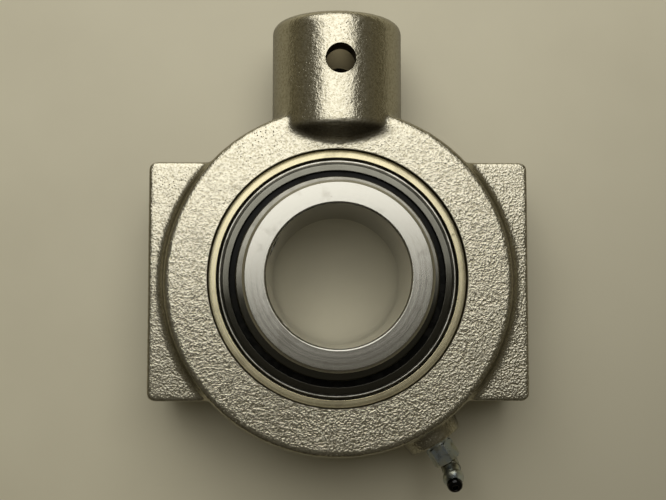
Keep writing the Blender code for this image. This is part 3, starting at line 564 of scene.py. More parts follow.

# %% [markdown]
# The shields and slingers are pressed from grey sheet. Their lower half, the side away from the
# nose, is a black glossy film with a wavering edge: partly oil, partly painted shade. The rolled
# rim of the shield stands proud of it and is painted bright, a painted highlight, and the slinger
# is rubbed brighter than the shield. Both are told apart by their radius. Corners get painted
# shade.

# %% Pressed sheet under oil
SLINGER_RADIUS, RIM_RADIUS = 33.0 * MM, 36.35 * MM
OIL_AND_SHADE_EDGE, OIL_AND_SHADE_FADE = CENTRE.y + 8 * MM, 9 * MM
sheet = Finish("pressed_sheet", 1.0, 0.26)
tree = sheet.tree
marks = sheet.turned(0.0003)
dirt_and_shade = sheet.soiled_and_shaded(0.005, 0.75, 0.0015)
specks = sheet.effect(flecks, {"Spacing": 0.0016, "Amount": 0.25})["Mask"]
edge = sheet.effect(soft_edges, {"Radius": 0.0002})
wander = sheet.scaled(clouds(tree, sheet.spot, 90.0, 5.0)[0], 0.016)
level = maths(tree, "ADD", parts(tree, sheet.spot)["Y"], wander)
rim = maths(tree, "GREATER_THAN", marks["Radius"], RIM_RADIUS)
inner = maths(tree, "LESS_THAN", marks["Radius"], SLINGER_RADIUS)
# oil film and painted shade on the lower half
oil_film_and_shade = sheet.remap(level, OIL_AND_SHADE_EDGE + OIL_AND_SHADE_FADE, OIL_AND_SHADE_EDGE - OIL_AND_SHADE_FADE)
oil_film_and_shade = sheet.scaled(oil_film_and_shade, maths(tree, "SUBTRACT", 1.0, rim))
layered = sheet.mix(
    sheet.remap(marks["Streak"], 0.3, 0.7), (0.145, 0.145, 0.12, 1), (0.20, 0.195, 0.165, 1)
)
for mask, amount, layer in (
    # painted highlight on the rolled rim of the shield
    (rim, 1.0, (0.66, 0.645, 0.585, 1)),
    (inner, 0.8, (0.30, 0.29, 0.25, 1)),
    (dirt_and_shade["Patches"], 0.4, (0.14, 0.135, 0.11, 1)),
    (oil_film_and_shade, 0.96, (0.085, 0.082, 0.066, 1)),
    (specks, 0.35, (0.16, 0.13, 0.08, 1)),
    # painted shade in the gaps and corners
    (dirt_and_shade["Corner shade"], 0.9, (0.02, 0.018, 0.014, 1)),
):
    layered = sheet.mix(sheet.scaled(mask, amount), layered, layer)
sheet.feed("Base Color", layered)
sheet.feed("Roughness", sheet.remap(oil_film_and_shade, 0.0, 1.0, 0.26, 0.13))
sheet.feed("Normal", sheet.bump(marks["Height"], 0.000008, edge["Normal"]))

# %% [markdown]
# The seal lip is black rubber, wet with oil. The cage is moulded nylon and the screws are
# blackened steel, worn bright at their edges. The grease fitting has a thin zinc plate that
# looks bluish on flat faces and straw coloured where it is worn, and its end is black with old
# grease.

# %% Rubber and nylon
def moulded(name, clean, dirty, cover, dry, wet):
    part = Finish(name, 0.0, dry)
    dirt_and_shade = part.soiled_and_shaded(0.004, cover, 0.002)
    part.feed("Base Color", part.mix(dirt_and_shade["Patches"], clean, dirty))
    part.feed("Roughness", part.remap(dirt_and_shade["Patches"], 0.0, 1.0, dry, wet))
    return part


rubber = moulded("seal_rubber", (0.006, 0.006, 0.005, 1), (0.014, 0.013, 0.010, 1), 0.6, 0.25, 0.5)
rubber.shader.inputs["Specular IOR Level"].default_value = 0.08
nylon = moulded("cage_nylon", (0.55, 0.49, 0.35, 1), (0.35, 0.27, 0.14, 1), 0.8, 0.45, 0.2)

# %% Blackened and zinc plated steel
def small_steel(name, base, second, worn, grime_and_shade_colour, roughness, grime_amount):
    steel = Finish(name, 1.0, roughness)
    dirt_and_shade = steel.soiled_and_shaded(0.003, 0.55, 0.0014)
    edge = steel.effect(soft_edges, {"Radius": 0.00025})
    drift = clouds(steel.tree, steel.spot, 260.0, 3.0)[0]
    grit = clouds(steel.tree, steel.spot, 3200.0, 2.0)[0]
    metal = steel.mix(steel.remap(drift, 0.40, 0.62), base, second)
    metal = steel.mix(steel.scaled(edge["Edge"], 0.7), metal, worn)
    smear_and_shade = steel.heaviest(
        # dirt patches, and painted shade in corners
        steel.scaled(dirt_and_shade["Patches"], grime_amount), steel.scaled(dirt_and_shade["Corner shade"], 0.85)
    )
    steel.feed("Base Color", steel.mix(smear_and_shade, metal, grime_and_shade_colour))
    steel.feed("Roughness", steel.remap(drift, 0.3, 0.7, roughness - 0.06, roughness + 0.08))
    steel.feed("Normal", steel.bump(grit, 0.000012, edge["Normal"]))
    return steel.material


black_steel = small_steel(
    "blackened_screw_steel",
    base=(0.09, 0.085, 0.08, 1), second=(0.13, 0.12, 0.10, 1), worn=(0.40, 0.38, 0.33, 1),
    grime_and_shade_colour=(0.03, 0.025, 0.02, 1), roughness=0.36, grime_amount=0.6,
)
zinc_steel = small_steel(
    "zinc_plated_steel",
    base=(0.40, 0.46, 0.52, 1), second=(0.46, 0.47, 0.38, 1), worn=(0.66, 0.65, 0.55, 1),
    grime_and_shade_colour=(0.10, 0.085, 0.05, 1), roughness=0.30, grime_amount=0.7,
)
greasy_steel = small_steel(
    "greasy_fitting_end",
    base=(0.02, 0.02, 0.02, 1), second=(0.035, 0.03, 0.025, 1), worn=(0.10, 0.09, 0.08, 1),
    grime_and_shade_colour=(0.01, 0.01, 0.01, 1), roughness=0.14, grime_amount=0.4,
)
spring_steel = small_steel(
    "spring_wire",
    base=(0.50, 0.50, 0.48, 1), second=(0.42, 0.42, 0.40, 1), worn=(0.62, 0.62, 0.60, 1),
    grime_and_shade_colour=(0.10, 0.09, 0.07, 1), roughness=0.25, grime_amount=0.3,
)
print("finishes", len(bpy.data.materials), "effects", len(bpy.data.node_groups))

# %% [markdown]
# ## Modelling helpers
#
# Nearly everything on a bearing is turned, so the main tool is a profile spun round the Z axis.
# A finished piece keeps its place in its mesh: the object itself stays at the origin.

# %% Profiles and turned bodies
def arc(centre, radius, start, end, steps):
    """Points along an arc of a profile, angles in degrees."""
    found = []
    for i in range(steps + 1):
        angle = math.radians(start + (end - start) * i / steps)
        found.append((centre[0] + radius * math.cos(angle), centre[1] + radius * math.sin(angle)))
    return found


def in_mm(*points):
    return [(r * MM, z * MM) for r, z in points]


def mirrored(upper):
    """A profile's upper half and its mirror image below it."""
    lower = [(r, -z) for r, z in reversed(upper)]
    return upper + (lower[1:] if upper[-1][1] == 0 else lower)


def spun(profile, sides=180):
    """A closed body turned about Z from (radius, height) points."""
    bm = bmesh.new()
    points = [bm.verts.new((r, 0, z)) for r, z in profile]
    edges = [bm.edges.new(pair) for pair in zip(points, points[1:])]
    if profile[0][0] > 0:
        edges.append(bm.edges.new((points[-1], points[0])))
    bmesh.ops.spin(
        bm, geom=points + edges, cent=(0, 0, 0), axis=(0, 0, 1),
        angle=2 * math.pi, steps=sides, use_merge=True,
    )
    bmesh.ops.remove_doubles(bm, verts=bm.verts, dist=0.0005 * MM)
    bmesh.ops.recalc_face_normals(bm, faces=bm.faces)
    return bm

# %% [markdown]
# No real corner is sharp. A bevel's defaults in a script differ from the editor's, so one helper
# sets them, and others choose its edges or cut a body off at both ends.

# %% Bevels and cuts
def bevelled(bm, edges, width, segments, clamp=False):
    bmesh.ops.bevel(
        bm, geom=edges, offset=width, segments=segments,
        profile=0.5, affect="EDGES", material=-1, clamp_overlap=clamp,
    )
    return bm


def eased(bm, width):
    """Rounds every edge sharper than 25 degrees."""
    limit = math.radians(25)
    sharp = [e for e in bm.edges if e.is_manifold and abs(e.calc_face_angle()) > limit]
    return bevelled(bm, sharp, width, 2, clamp=True)


def trimmed(bm, axis, reach):
    """Cuts off what lies past a distance on both sides, and closes the cuts."""
    for side in (-1, 1):
        way = Vector([side if i == axis else 0 for i in range(3)])
        whole = bm.verts[:] + bm.edges[:] + bm.faces[:]
        bmesh.ops.bisect_plane(
            bm, geom=whole, plane_co=way * reach, plane_no=way, clear_outer=True
        )
    bmesh.ops.holes_fill(bm, edges=[e for e in bm.edges if e.is_boundary])
    return bm


def rounded(bm, axis, radius, segments):
    """Rounds the edges that run along one axis, 0 for X to 2 for Z."""
    chosen = []
    for edge in bm.edges:
        line = edge.verts[1].co - edge.verts[0].co
        if abs(line[axis]) > 0.999 * line.length:
            chosen.append(edge)
    return bevelled(bm, chosen, radius, segments)

# %% [markdown]
# Plain bodies are cylinders, boxes and raised outlines. Each is made once in a helper that takes
# the sizes a drawing would give, and is then moved to its place.

# %% Plain bodies
def placed(bm, matrix):
    bmesh.ops.transform(bm, matrix=matrix, verts=bm.verts)
    return bm


def along(direction):
    """A rotation that takes +Z to the direction."""
    return Vector((0, 0, 1)).rotation_difference(Vector(direction)).to_matrix().to_4x4()


def radial(degrees):
    return Vector((math.cos(math.radians(degrees)), math.sin(math.radians(degrees)), 0))


def rod(radius, start, end, sides=48, end_radius=None):
    start, end = Vector(start), Vector(end)
    bm = bmesh.new()
    middle = Matrix.Translation((start + end) / 2) @ along(end - start)
    bmesh.ops.create_cone(
        bm, cap_ends=True, segments=sides, depth=(end - start).length, matrix=middle,
        radius1=radius, radius2=radius if end_radius is None else end_radius,
    )
    return bm


def block(low, high):
    low, high = Vector(low), Vector(high)
    bm = bmesh.new()
    bmesh.ops.create_cube(bm, size=1)
    bmesh.ops.scale(bm, vec=high - low, verts=bm.verts)
    bmesh.ops.translate(bm, vec=(low + high) / 2, verts=bm.verts)
    return bm


def prism(outline, bottom, top):
    """A plan outline raised from one height to another."""
    bm = bmesh.new()
    face = bm.faces.new([bm.verts.new((x, y, bottom)) for x, y in outline])
    raised = bmesh.ops.extrude_face_region(bm, geom=[face])
    tops = [v for v in raised["geom"] if isinstance(v, bmesh.types.BMVert)]
    bmesh.ops.translate(bm, verts=tops, vec=(0, 0, top - bottom))
    bmesh.ops.recalc_face_normals(bm, faces=bm.faces)
    return bm

# %% [markdown]
# A bmesh becomes an object here, and Booleans add or cut others. A finished piece then gets its
# shading and is tied to the body it rides on.

# %% Objects, Booleans and installing
def shape(name, bm, materials):
    """A bare object made from a bmesh."""
    mesh = bpy.data.meshes.new(name)
    bm.to_mesh(mesh)
    bm.free()
    for material in materials:
        mesh.materials.append(material)
    made = bpy.data.objects.new(name, mesh)
    bpy.context.collection.objects.link(made)
    return made


def settled(thing):
    """Applies an object's modifiers and forgets them."""
    graph = bpy.context.evaluated_depsgraph_get()
    graph.update()
    old = thing.data
    thing.data = bpy.data.meshes.new_from_object(
        thing.evaluated_get(graph), preserve_all_data_layers=True, depsgraph=graph
    )
    thing.modifiers.clear()
    bpy.data.meshes.remove(old)
    return thing


def worked(thing, tool_bm, operation, solver="EXACT", slot=0):
    """Adds or cuts one shape, whose faces take the material in the given slot."""
    for face in tool_bm.faces:
        face.material_index = slot
    bmesh.ops.recalc_face_normals(tool_bm, faces=tool_bm.faces)
    tool = shape("tool", tool_bm, thing.data.materials)
    boolean = thing.modifiers.new("work", "BOOLEAN")
    boolean.operation = operation
    boolean.solver = solver
    boolean.object = tool
    settled(thing)
    bpy.data.objects.remove(tool, do_unlink=True)
    return thing


def installed(thing, body, slot, *nodes, sharp=32):
    """Shades a piece, lets it ride on its body, and hides the solids it stands for."""
    thing.data.shade_smooth()
    thing.data.set_sharp_from_angle(angle=math.radians(sharp))
    if sharp < 180:
        flats = thing.modifiers.new("flats", "WEIGHTED_NORMAL")
        flats.keep_sharp = True
        settled(thing)
    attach(thing, body)
    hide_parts(*nodes)
    size = [round((max(axis) - min(axis)) / MM, 2) for axis in zip(*thing.bound_box)]
    triangles = sum(len(p.vertices) - 2 for p in thing.data.polygons)
    print(f"{thing.name}: {triangles} triangles, {size} mm")
    return thing


AT_CENTRE = Matrix.Translation(CENTRE)

# %% [markdown]
# ## The casting
#
# On the real unit the housing is one iron casting: a drafted hub, two wings with a step and a
# sloped blend, a tubular nose, and a boss for the grease fitting. Modelling the blends by hand
# would take many bevels that meet badly. Instead the plain bodies are pushed into each other and
# remeshed as one skin of small even faces. Smoothing that skin rounds every corner the way a
# pattern maker does, and then the grain can be pressed into it.

# %% Sizes of the casting
HUB_HALF, HUB_RADIUS, HUB_RIM = 15.0 * MM, 55.2 * MM, 54.6 * MM
HUB_EDGE = 2.0 * MM
WING_X, WING_Y, WING_HALF = 59.35 * MM, 37.3 * MM, 12.25 * MM
NOSE_RADIUS, NOSE_END, NOSE_EDGE = 21.0 * MM, 83.0 * MM, 3.5 * MM
NOSE_ROOT, NOSE_TIP, NOSE_TIP_RADIUS = 47.1 * MM, 36.78 * MM, 6.8 * MM
BOSS_ANGLE, BOSS_END = -58.5, 60.5 * MM
NOSE_BORE, NOSE_BORE_DEPTH, NOSE_CHAMFER = 12.7 * MM, 28 * MM, 0.9 * MM
PIN_RADIUS, PIN_INSET, PIN_SIDE = 4.75 * MM, 15.6 * MM, 0.9 * MM
RAIL_FLOOR, RAIL_HALF, RAIL_CORNER = 52.15 * MM, 7.95 * MM, 1.2 * MM
SEAT, SEAT_RIM, SEAT_MOUTH = 42.8 * MM, 0.3 * MM, 2.3 * MM
LOADING_HALF, LOADING_REACH, LOADING_TOP = 11.4 * MM, 43.2 * MM, 0.4 * MM
PAST = 2 * MM
SHIFT = Matrix.Translation((0.3 * MM, -0.9 * MM, 0))

# %% Hub and wings
corner = arc((HUB_RIM - HUB_EDGE, HUB_HALF - HUB_EDGE), HUB_EDGE, 90, 0, 6)
bodies = [placed(spun(mirrored([(0, HUB_HALF), *corner, (HUB_RADIUS, 0)])), SHIFT)]

wings = block((-WING_X, -WING_Y, -WING_HALF), (WING_X, WING_Y, WING_HALF))
rounded(wings, 2, 2.4 * MM, 4)
rims = [
    e for e in wings.edges
    if e.calc_face_angle(0) > 1.2 and abs(e.verts[0].co.z - e.verts[1].co.z) < 0.1 * MM
]
bodies.append(placed(bevelled(wings, rims, 0.8 * MM, 3), SHIFT))

# %% Blend from the hub's rim down to the wings
BLEND_RUN = 2.5 * MM
blend_top = HUB_HALF - HUB_EDGE * 0.75
drop = blend_top - WING_HALF
blend_radius = (BLEND_RUN**2 + drop**2) / (2 * drop)
blend_centre = (HUB_RIM - 0.2 * MM + BLEND_RUN, WING_HALF + blend_radius)
lean = math.degrees(math.atan2(blend_radius - drop, BLEND_RUN))
hollow = arc(blend_centre, blend_radius, 180 + lean, 268, 8)
blend = spun(mirrored([(0, hollow[0][1]), *hollow, (blend_centre[0], WING_HALF - 1 * MM)]))
bodies.append(placed(trimmed(blend, 1, WING_Y - 0.1 * MM), SHIFT))

# %% Inside corners where a wing's end meets the hub
FILLET = 3.0 * MM
fillet_y = WING_Y + FILLET
fillet_x = math.sqrt((HUB_RIM + FILLET) ** 2 - fillet_y**2)
turn = math.degrees(math.atan2(fillet_y, fillet_x))
hollow = arc((fillet_x, fillet_y), FILLET, 180 + turn, 270, 8)
outline = [*hollow, (fillet_x, WING_Y - 4 * MM), (hollow[0][0] - 4 * MM, hollow[0][1] - 4 * MM)]
for side_x in (-1, 1):
    for side_y in (-1, 1):
        corner = [(side_x * x, side_y * y) for x, y in outline]
        bodies.append(placed(prism(corner, -11.1 * MM, 11.1 * MM), SHIFT))

# %% Nose with its fillet, and the grease boss
rim = arc((NOSE_RADIUS - NOSE_EDGE, NOSE_END - NOSE_EDGE), NOSE_EDGE, 0, 90, 12)
profile = [(0, NOSE_TIP), (NOSE_TIP_RADIUS, NOSE_TIP), (NOSE_RADIUS, NOSE_ROOT)]
profile += [*rim, (0, NOSE_END)]
bodies.append(placed(spun(profile, 144), along((0, 1, 0))))

NOSE_FILLET = 4.0 * MM
reach = NOSE_RADIUS + NOSE_FILLET
foot = math.sqrt(HUB_RIM**2 - reach**2) - 0.9 * MM
hollow = arc((reach, foot + NOSE_FILLET), NOSE_FILLET, 265, 180, 8)
ring = [(NOSE_RADIUS - 2 * MM, foot - 5 * MM), (reach, foot - 5 * MM), *hollow]
ring.append((NOSE_RADIUS - 2 * MM, hollow[-1][1]))
collar = placed(spun(ring, 144), along((0, 1, 0)))
bodies.append(trimmed(collar, 2, HUB_HALF - HUB_EDGE))

out = radial(BOSS_ANGLE)
bodies.append(rod(11.4 * MM, out * 49 * MM, out * BOSS_END, 72, 9.0 * MM))

# %% [markdown]
# The skin is remeshed at 0.6 mm. Three smoothing passes soften it, and sixteen more melt the
# corners at the foot of the nose. The grain is then pressed inwards only, so the casting never
# grows past its solid: broad waves from the sand and grains of one and two millimetres.

# %% Remesh into one skin
VOXEL = 0.60 * MM
casting_bm = bmesh.new()
for body in bodies:
    mesh = bpy.data.meshes.new("body")
    bmesh.ops.recalc_face_normals(body, faces=body.faces)
    body.to_mesh(mesh)
    body.free()
    casting_bm.from_mesh(mesh)
    bpy.data.meshes.remove(mesh)
casting_bm.transform(AT_CENTRE)
housing = shape("housing_casting", casting_bm, (casting.material, machined, shaded_bores))
remesh = housing.modifiers.new("skin", "REMESH")
remesh.mode = "VOXEL"
remesh.voxel_size = VOXEL
smooth = housing.modifiers.new("soften", "SMOOTH")
smooth.factor = 0.5
smooth.iterations = 3
settled(housing)

NOSE_FOOT, FOOT_REACH = 48.0 * MM, 9.0 * MM
foot_group = housing.vertex_groups.new(name="nose_foot")
for vertex in housing.data.vertices:
    place = vertex.co - CENTRE
    nearness = 1 - abs(place.y - NOSE_FOOT) / FOOT_REACH
    if nearness > 0 and abs(place.x) < 28 * MM:
        foot_group.add([vertex.index], min(1.0, 2 * nearness), "REPLACE")
smooth = housing.modifiers.new("soft_foot", "SMOOTH")
smooth.vertex_group = foot_group.name
smooth.factor = 0.5
smooth.iterations = 16
settled(housing)
housing.vertex_groups.clear()
print("skin", len(housing.data.vertices), "vertices")

# %% Press the grain in
def grain_depth(point):
    """How far a point moves along its normal: about 0.1 mm inwards, 0.2 mm at most."""
    wave = noise.noise(point / (14 * MM)) * 0.05
    grains = noise.noise(point / (1.9 * MM)) * 0.035
    small = noise.noise(point / (0.95 * MM) + Vector((7, 3, 5))) * 0.05
    return (wave + grains + small - 0.09) * MM


normals = [v.vector.copy() for v in housing.data.vertex_normals]
for vertex, normal in zip(housing.data.vertices, normals):
    vertex.co += normal * grain_depth(vertex.co)
housing.data.update()

# %% [markdown]
# Now the casting is machined, in the order of the real job: the spherical seat with the two
# slots at the back through which the bearing goes in edgewise, the guide slots for the rails,
# the bore for the adjusting screw, the cross hole for its pin, and the grease passage. The
# cutters' faces carry the second or third material, so each cut leaves plated metal, and in the
# bores metal painted dark as shade.

# %% Machining
PLATED, BORE_SHADE = 1, 2
seat_angle = math.degrees(math.asin((HUB_HALF - SEAT_RIM) / SEAT))
seat_arc = arc((0, 0), SEAT, seat_angle, 0, 16)
mouth = seat_arc[0][0] + SEAT_MOUTH
seat_profile = mirrored([(0, HUB_HALF + PAST), (mouth, HUB_HALF + PAST), *seat_arc])
cuts = [(placed(spun(seat_profile, 192), AT_CENTRE), PLATED)]

half_angle = math.degrees(math.asin(LOADING_HALF / LOADING_REACH))
outline = arc((0, 0), LOADING_REACH, -half_angle, half_angle, 16)
outline += arc((0, 0), LOADING_REACH, 180 - half_angle, 180 + half_angle, 16)
cuts.append((placed(prism(outline, -HUB_HALF - PAST, LOADING_TOP), AT_CENTRE), PLATED))

for side in (-1, 1):
    inner, outer = sorted((side * RAIL_FLOOR, side * 80 * MM))
    slot = block((inner, -80 * MM, -RAIL_HALF), (outer, 80 * MM, RAIL_HALF))
    cuts.append((placed(rounded(slot, 1, RAIL_CORNER, 4), AT_CENTRE @ SHIFT), PLATED))

bore_end, mouth = NOSE_END - NOSE_BORE_DEPTH, NOSE_BORE + NOSE_CHAMFER
profile = [(0, bore_end), (NOSE_BORE, bore_end), (NOSE_BORE, NOSE_END - NOSE_CHAMFER)]
profile += [(mouth, NOSE_END), (mouth, NOSE_END + PAST), (0, NOSE_END + PAST)]
cuts.append((placed(spun(profile, 128), AT_CENTRE @ along((0, 1, 0))), BORE_SHADE))

pin = Vector((PIN_SIDE, NOSE_END - PIN_INSET, 0))
tall = Vector((0, 0, NOSE_RADIUS + PAST))
cuts.append((placed(rod(PIN_RADIUS, pin - tall, pin + tall, 64), AT_CENTRE), BORE_SHADE))

profile = in_mm((0, 40), (1.8, 40), (1.8, 53.5), (3.2, 53.5), (3.2, 64), (0, 64))
cuts.append((placed(spun(profile, 32), AT_CENTRE @ along(out)), BORE_SHADE))

for cut, finish in cuts:
    worked(housing, cut, "DIFFERENCE", "MANIFOLD", slot=finish)
print("housing", len(housing.data.polygons), "faces")

# %% [markdown]
# The skin is shaded smooth throughout. Only its borders with machined faces, and the sharp
# corners within them, stay crisp, so each edge says whether it was cast or cut.

# %% Crisp edges only where metal was cut
installed(housing, "housing", "cast_housing", "housing", sharp=180)
bm = bmesh.new()
bm.from_mesh(housing.data)
for edge in bm.edges:
    slots = {face.material_index for face in edge.link_faces}
    cut_corner = 0 not in slots and edge.calc_face_angle(0) > math.radians(28)
    edge.smooth = len(slots) == 1 and not cut_corner
bm.to_mesh(housing.data)
bm.free()

# %% [markdown]
# ## The bearing's rings
#
# Both rings are turned and ground. The outer one is a slice of a sphere, so that it can swivel
# in its seat. The inner one is wide, to take the set screws in its long side. Each is a spun
# profile whose corners are then eased by a tenth of a millimetre or two.

# %% Sizes of the bearing
BALL, GROOVE = 6.35 * MM, 6.6 * MM
BORE, INNER, PITCH, LAND, OUTER = 21.43 * MM, 28.6 * MM, 32.5 * MM, 37.0 * MM, 42.5 * MM
RING_HALF, LONG_SIDE, SHORT_SIDE = 11.0 * MM, 30.2 * MM, -19.0 * MM
SHIELD_SEAT, SHIELD_FLOOR = 37.9 * MM, 7.6 * MM

# %% Outer ring
top = math.degrees(math.asin(10.0 * MM / OUTER))
low = math.degrees(math.asin(1.5 * MM / OUTER))
sphere = arc((0, 0), OUTER, top, low, 12)
outside = [(sphere[0][0] - 1.0 * MM, RING_HALF), *sphere, (OUTER - 0.8 * MM, 1.5 * MM)]
lean = math.degrees(math.acos((LAND - PITCH) / GROOVE))
step = [(SHIELD_SEAT, RING_HALF), (SHIELD_SEAT, SHIELD_FLOOR), (LAND, SHIELD_FLOOR)]
inside = step + arc((PITCH, 0), GROOVE, lean, -lean, 20) + [(r, -z) for r, z in reversed(step)]
bm = eased(spun(mirrored(outside) + inside[::-1]), 0.15 * MM)
outer_ring = shape("race_ring", placed(bm, AT_CENTRE), (race_steel,))
for angle in (BOSS_ANGLE, BOSS_ANGLE + 180):
    hole = rod(1.2 * MM, radial(angle) * PITCH, radial(angle) * (OUTER + PAST), 24)
    worked(outer_ring, placed(hole, AT_CENTRE), "DIFFERENCE")
installed(outer_ring, "bearing_outer", "race_steel", "outer_ring")

# %% Inner ring with its tapped holes
SCREW_ANGLES = (155, 220)
SCREW_LEVEL, SCREW_HOLE = LONG_SIDE - 6.0 * MM, 3.175 * MM
lean = math.degrees(math.acos((INNER - PITCH) / GROOVE))
profile = [
    (BORE + 0.5 * MM, LONG_SIDE),
    (INNER - 0.9 * MM, LONG_SIDE),
    (INNER, LONG_SIDE - 0.9 * MM),
    *arc((PITCH, 0), GROOVE, lean, 360 - lean, 24),
    (INNER, SHORT_SIDE + 0.9 * MM),
    (INNER - 0.9 * MM, SHORT_SIDE),
    (BORE + 0.5 * MM, SHORT_SIDE),
    (BORE, SHORT_SIDE + 0.5 * MM),
    (BORE, LONG_SIDE - 0.5 * MM),
]
ring_bm = placed(eased(spun(profile), 0.12 * MM), AT_CENTRE)
for face in ring_bm.faces:
    away = face.calc_center_median() - CENTRE
    face.material_index = 1 if away.xy.length < BORE + 0.02 * MM else 0
inner_ring = shape("shaft_ring", ring_bm, (ring_steel, bore_steel))
for angle in SCREW_ANGLES:
    level = Vector((0, 0, SCREW_LEVEL))
    start, end = (radial(angle) * r + level for r in (BORE - PAST, INNER + PAST))
    worked(inner_ring, placed(rod(SCREW_HOLE, start, end, 48), AT_CENTRE), "DIFFERENCE")
installed(inner_ring, "bearing_inner", "ground_steel", "inner_ring")

# %% [markdown]
# ## Shields, lips and slingers
#
# Each side has three thin rings: a pressed shield held in the outer ring, a rubber lip behind
# it, and a slinger that turns with the shaft and throws dirt off. A spun profile gives each one,
# and its mirror image serves the back.

# %% Turned pairs
def pair(name, profile, material, body, slot, node, ease):
    for end, sign in (("front", 1), ("rear", -1)):
        bm = eased(spun([(r, sign * z) for r, z in profile]), ease)
        thing = shape(f"{name}_{end}", placed(bm, AT_CENTRE), (material,))
        installed(thing, body, slot, f"{node}_{end}")


bead = arc((36.86, 10.10), 0.49, 180, 0, 8)
shield = in_mm(
    *((34.0, 9.7), (34.0, 10.5), (35.9, 10.5), (36.1, 10.2)),
    *bead,
    *((37.4, 9.5), (37.7, 9.5), (37.7, 7.9), (36.9, 7.9), (36.9, 9.3), (35.9, 9.3)),
)
lip = in_mm((28.9, 9.9), (31.1, 9.0), (36.6, 9.0), (36.6, 7.9), (30.55, 7.9), (28.9, 8.8))
slinger = in_mm(
    *((28.8, 10.2), (28.8, 13.2), (31.5, 13.2), (31.9, 12.8), (31.9, 11.2)),
    *((31.1, 11.2), (31.1, 12.4), (29.6, 12.4), (29.6, 10.2)),
)
pair("shield", shield, sheet.material, "bearing_outer", "pressed_steel", "seal_shield", 0.10 * MM)
pair("lip", lip, rubber.material, "bearing_outer", "seal_rubber", "seal_lip", 0.15 * MM)
pair("flinger", slinger, sheet.material, "bearing_inner", "pressed_steel", "slinger", 0.15 * MM)

# %% [markdown]
# ## Balls and cage
#
# The balls and their snap cage are hidden behind the seals, but they are what the bearing is
# about. A ball is a fine sphere at its solid's place, and the cage is a spun band with a round
# pocket cut for each ball.

# %% Balls
BALLS = 9
for i in range(BALLS):
    bm = bmesh.new()
    bmesh.ops.create_icosphere(bm, subdivisions=4, radius=BALL)
    spot = AT_CENTRE @ Matrix.Translation(radial(i * 360 / BALLS) * PITCH)
    ball = shape(f"polished_ball_{i + 1}", placed(bm, spot), (hidden_steel,))
    installed(ball, f"ball_{i + 1}_body", "ball_steel", f"ball_{i + 1}")

# %% Cage
POCKET = 6.7 * MM
band = in_mm((30.8, -7.45), (34.2, -7.45), (34.2, 3.6), (30.8, 3.6))
cage = shape("snap_cage", placed(eased(spun(band, 144), 0.2 * MM), AT_CENTRE), (nylon.material,))
for i in range(BALLS):
    bm = bmesh.new()
    spot = AT_CENTRE @ Matrix.Translation(radial(i * 360 / BALLS) * PITCH)
    bmesh.ops.create_uvsphere(bm, u_segments=48, v_segments=24, radius=POCKET, matrix=spot)
    worked(cage, bm, "DIFFERENCE")
installed(cage, "bearing_cage", "cage_nylon", "ball_cage")

# %% [markdown]
# ## Set screws
#
# Two socket set screws grip the shaft. Each is a short threaded rod with a cup point that bites
# and a hexagon socket for the key. The thread is a small tooth spun round the axis while it
# climbs, one turn for each pitch, so it is a true screw thread and not a stack of rings.

# %% Set screws
SCREW_PITCH, SCREW_HALF, CORE, CREST = 0.907 * MM, 3.175 * MM, 2.45 * MM, 2.97 * MM
TURNS, TURN_STEPS = 5, 32
for i, angle in enumerate(SCREW_ANGLES):
    profile = [(0, -2.525 * MM), (1.3 * MM, -SCREW_HALF), (1.9 * MM, -SCREW_HALF)]
    profile += [(CORE, -2.6 * MM), (CORE, 2.9 * MM), (2.2 * MM, SCREW_HALF), (0, SCREW_HALF)]
    screw = shape("set_screw", spun(profile, 48), (black_steel,))
    tooth = bmesh.new()
    start, root = -2.75 * MM, CORE - 0.15 * MM
    outline = [(root, start), (CREST, start + 0.44 * MM), (root, start + 0.88 * MM)]
    face = tooth.faces.new([tooth.verts.new((r, 0, z)) for r, z in outline])
    bmesh.ops.spin(
        tooth, geom=[face], cent=(0, 0, 0), axis=(0, 0, 1), use_duplicate=False,
        dvec=(0, 0, SCREW_PITCH / TURN_STEPS),
        angle=TURNS * 2 * math.pi, steps=TURNS * TURN_STEPS,
    )
    worked(screw, tooth, "UNION")
    socket = rod(1.83 * MM, (0, 0, 0.375 * MM), (0, 0, 5 * MM), 6)
    worked(screw, socket, "DIFFERENCE")
    screw.name = f"grub_screw_{i + 1}"
    level = radial(angle) * (BORE + 3.585 * MM) + Vector((0, 0, SCREW_LEVEL))
    screw.data.transform(AT_CENTRE @ Matrix.Translation(level) @ along(radial(angle)))
    installed(screw, f"set_screw_{i + 1}_body", "blackened_steel", f"set_screw_{i + 1}")

# %% [markdown]
# ## Grease fitting
#
# The fitting screws into the boss: a shank, a hexagon for the wrench, a bent neck, and a grooved
# head for the coupler with a spring loaded check ball in its mouth. Its pieces are made in the
# fitting's own frame, joined by Booleans, and only then put in place.

# %% Frames of the fitting
turn = Matrix((Vector((0, 0, 1)), out.cross(Vector((0, 0, 1))), out)).transposed()
turn = turn @ Matrix.Rotation(math.radians(15), 3, "Z")
fitting_place = AT_CENTRE @ Matrix.Translation(out * BOSS_END) @ turn.to_4x4()
BEND, BEND_RADIUS, NECK_START = math.radians(65), 3.6 * MM, 6.7 * MM
bend_centre = Vector((BEND_RADIUS, 0, NECK_START))
head_axis = Vector((math.sin(BEND), 0, math.cos(BEND)))
head_side = Vector((math.cos(BEND), 0, -math.sin(BEND)))
head_frame = Matrix((head_side, Vector((0, 1, 0)), head_axis)).transposed().to_4x4()
head_frame.translation = bend_centre - head_side * BEND_RADIUS

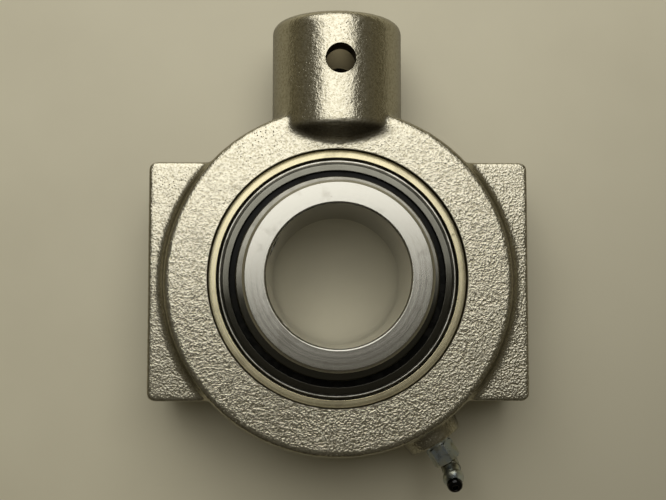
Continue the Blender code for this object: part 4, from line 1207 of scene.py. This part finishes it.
# %% Shank, hexagon, neck and head
profile = in_mm((0, -6), (2.6, -6), (3.0, -5.6), (3.0, 0.2))
profile += in_mm((3.6, 0.2), (3.97, 0.5), (3.97, 1.9), (0, 1.9))
fitting = shape("fitting_body", spun(profile, 64), (zinc_steel, greasy_steel))
hexagon = shape("hexagon", rod(4.584 * MM, (0, 0, 1.3 * MM), (0, 0, 7.5 * MM), 6), (zinc_steel,))
chamfers = in_mm((0, 1.3), (4.05, 1.3), (4.6, 1.75), (4.6, 7.05), (4.05, 7.5), (0, 7.5))
worked(hexagon, spun(chamfers, 64), "INTERSECT")
bm = bmesh.new()
bm.from_mesh(hexagon.data)
bpy.data.objects.remove(hexagon, do_unlink=True)
worked(fitting, bm, "UNION")

bm = bmesh.new()
bmesh.ops.create_circle(
    bm, cap_ends=True, segments=48, radius=3.0 * MM, matrix=Matrix.Translation((0, 0, NECK_START))
)
bmesh.ops.spin(bm, geom=bm.faces[:], cent=bend_centre, axis=(0, 1, 0), angle=BEND, steps=20)
worked(fitting, bm, "UNION")

head = [(0, -0.8), (2.8, -0.8), (2.8, 0.9), (2.5, 1.9), (2.45, 2.9), (3.1, 3.7), (3.25, 4.1)]
head += [(3.25, 5.0), (3.05, 5.4), (2.65, 6.5), (2.5, 7.6)]
head += arc((1.2, 8.15), 1.2, 0, 90, 8) + [(0, 9.35)]
head = in_mm(*head)
worked(fitting, placed(spun(head, 64), head_frame), "UNION")

# %% Drillings, and the greasy end
BALL_SEAT, BALL_MOUTH, CHECK_BALL, BALL_GAP = 8.7, 0.95, 1.2, 0.15  # in millimetres
worked(fitting, rod(1.15 * MM, (0, 0, -8 * MM), (0, 0, NECK_START + 1.8 * MM), 24), "DIFFERENCE")
passage = in_mm((0, -3.1), (1.15, -3.1), (1.15, 0.8), (1.55, 0.8))
passage += in_mm((1.55, BALL_SEAT), (BALL_MOUTH, BALL_SEAT), (BALL_MOUTH, 11.4), (0, 11.4))
worked(fitting, placed(spun(passage, 32), head_frame), "DIFFERENCE")
GREASY_FROM = 7.3 * MM
back_to_head = head_frame.inverted()
for face in fitting.data.polygons:
    face.material_index = 1 if (back_to_head @ face.center).z > GREASY_FROM else 0
fitting.data.transform(fitting_place)
installed(fitting, "housing", "fitting_steel", "grease_fitting")

# %% Check ball and spring
drop = math.sqrt((CHECK_BALL + BALL_GAP) ** 2 - BALL_MOUTH**2)
bm = bmesh.new()
bmesh.ops.create_icosphere(bm, subdivisions=3, radius=CHECK_BALL * MM)
spot = fitting_place @ head_frame @ Matrix.Translation((0, 0, (BALL_SEAT - drop) * MM))
check_ball = shape("check_ball", placed(bm, spot), (greasy_steel,))
installed(check_ball, "check_ball_body", "ball_steel", "grease_check_ball")

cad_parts["grease_spring"].material_slots[0].material = spring_steel

# %% [markdown]
# ## Sizes
#
# The box of the dressed unit and the box of its solids are both printed. The dressed unit has to
# stay inside the box of its solids.

# %% Sizes and finish
dressed_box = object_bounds()
sizes = {
    "solids": [list(corner) for corner in solid_box],
    "dressed": [list(corner) for corner in dressed_box],
}
for name, (low, high) in sizes.items():
    print(name, [round((b - a) / MM, 2) for a, b in zip(low, high)])
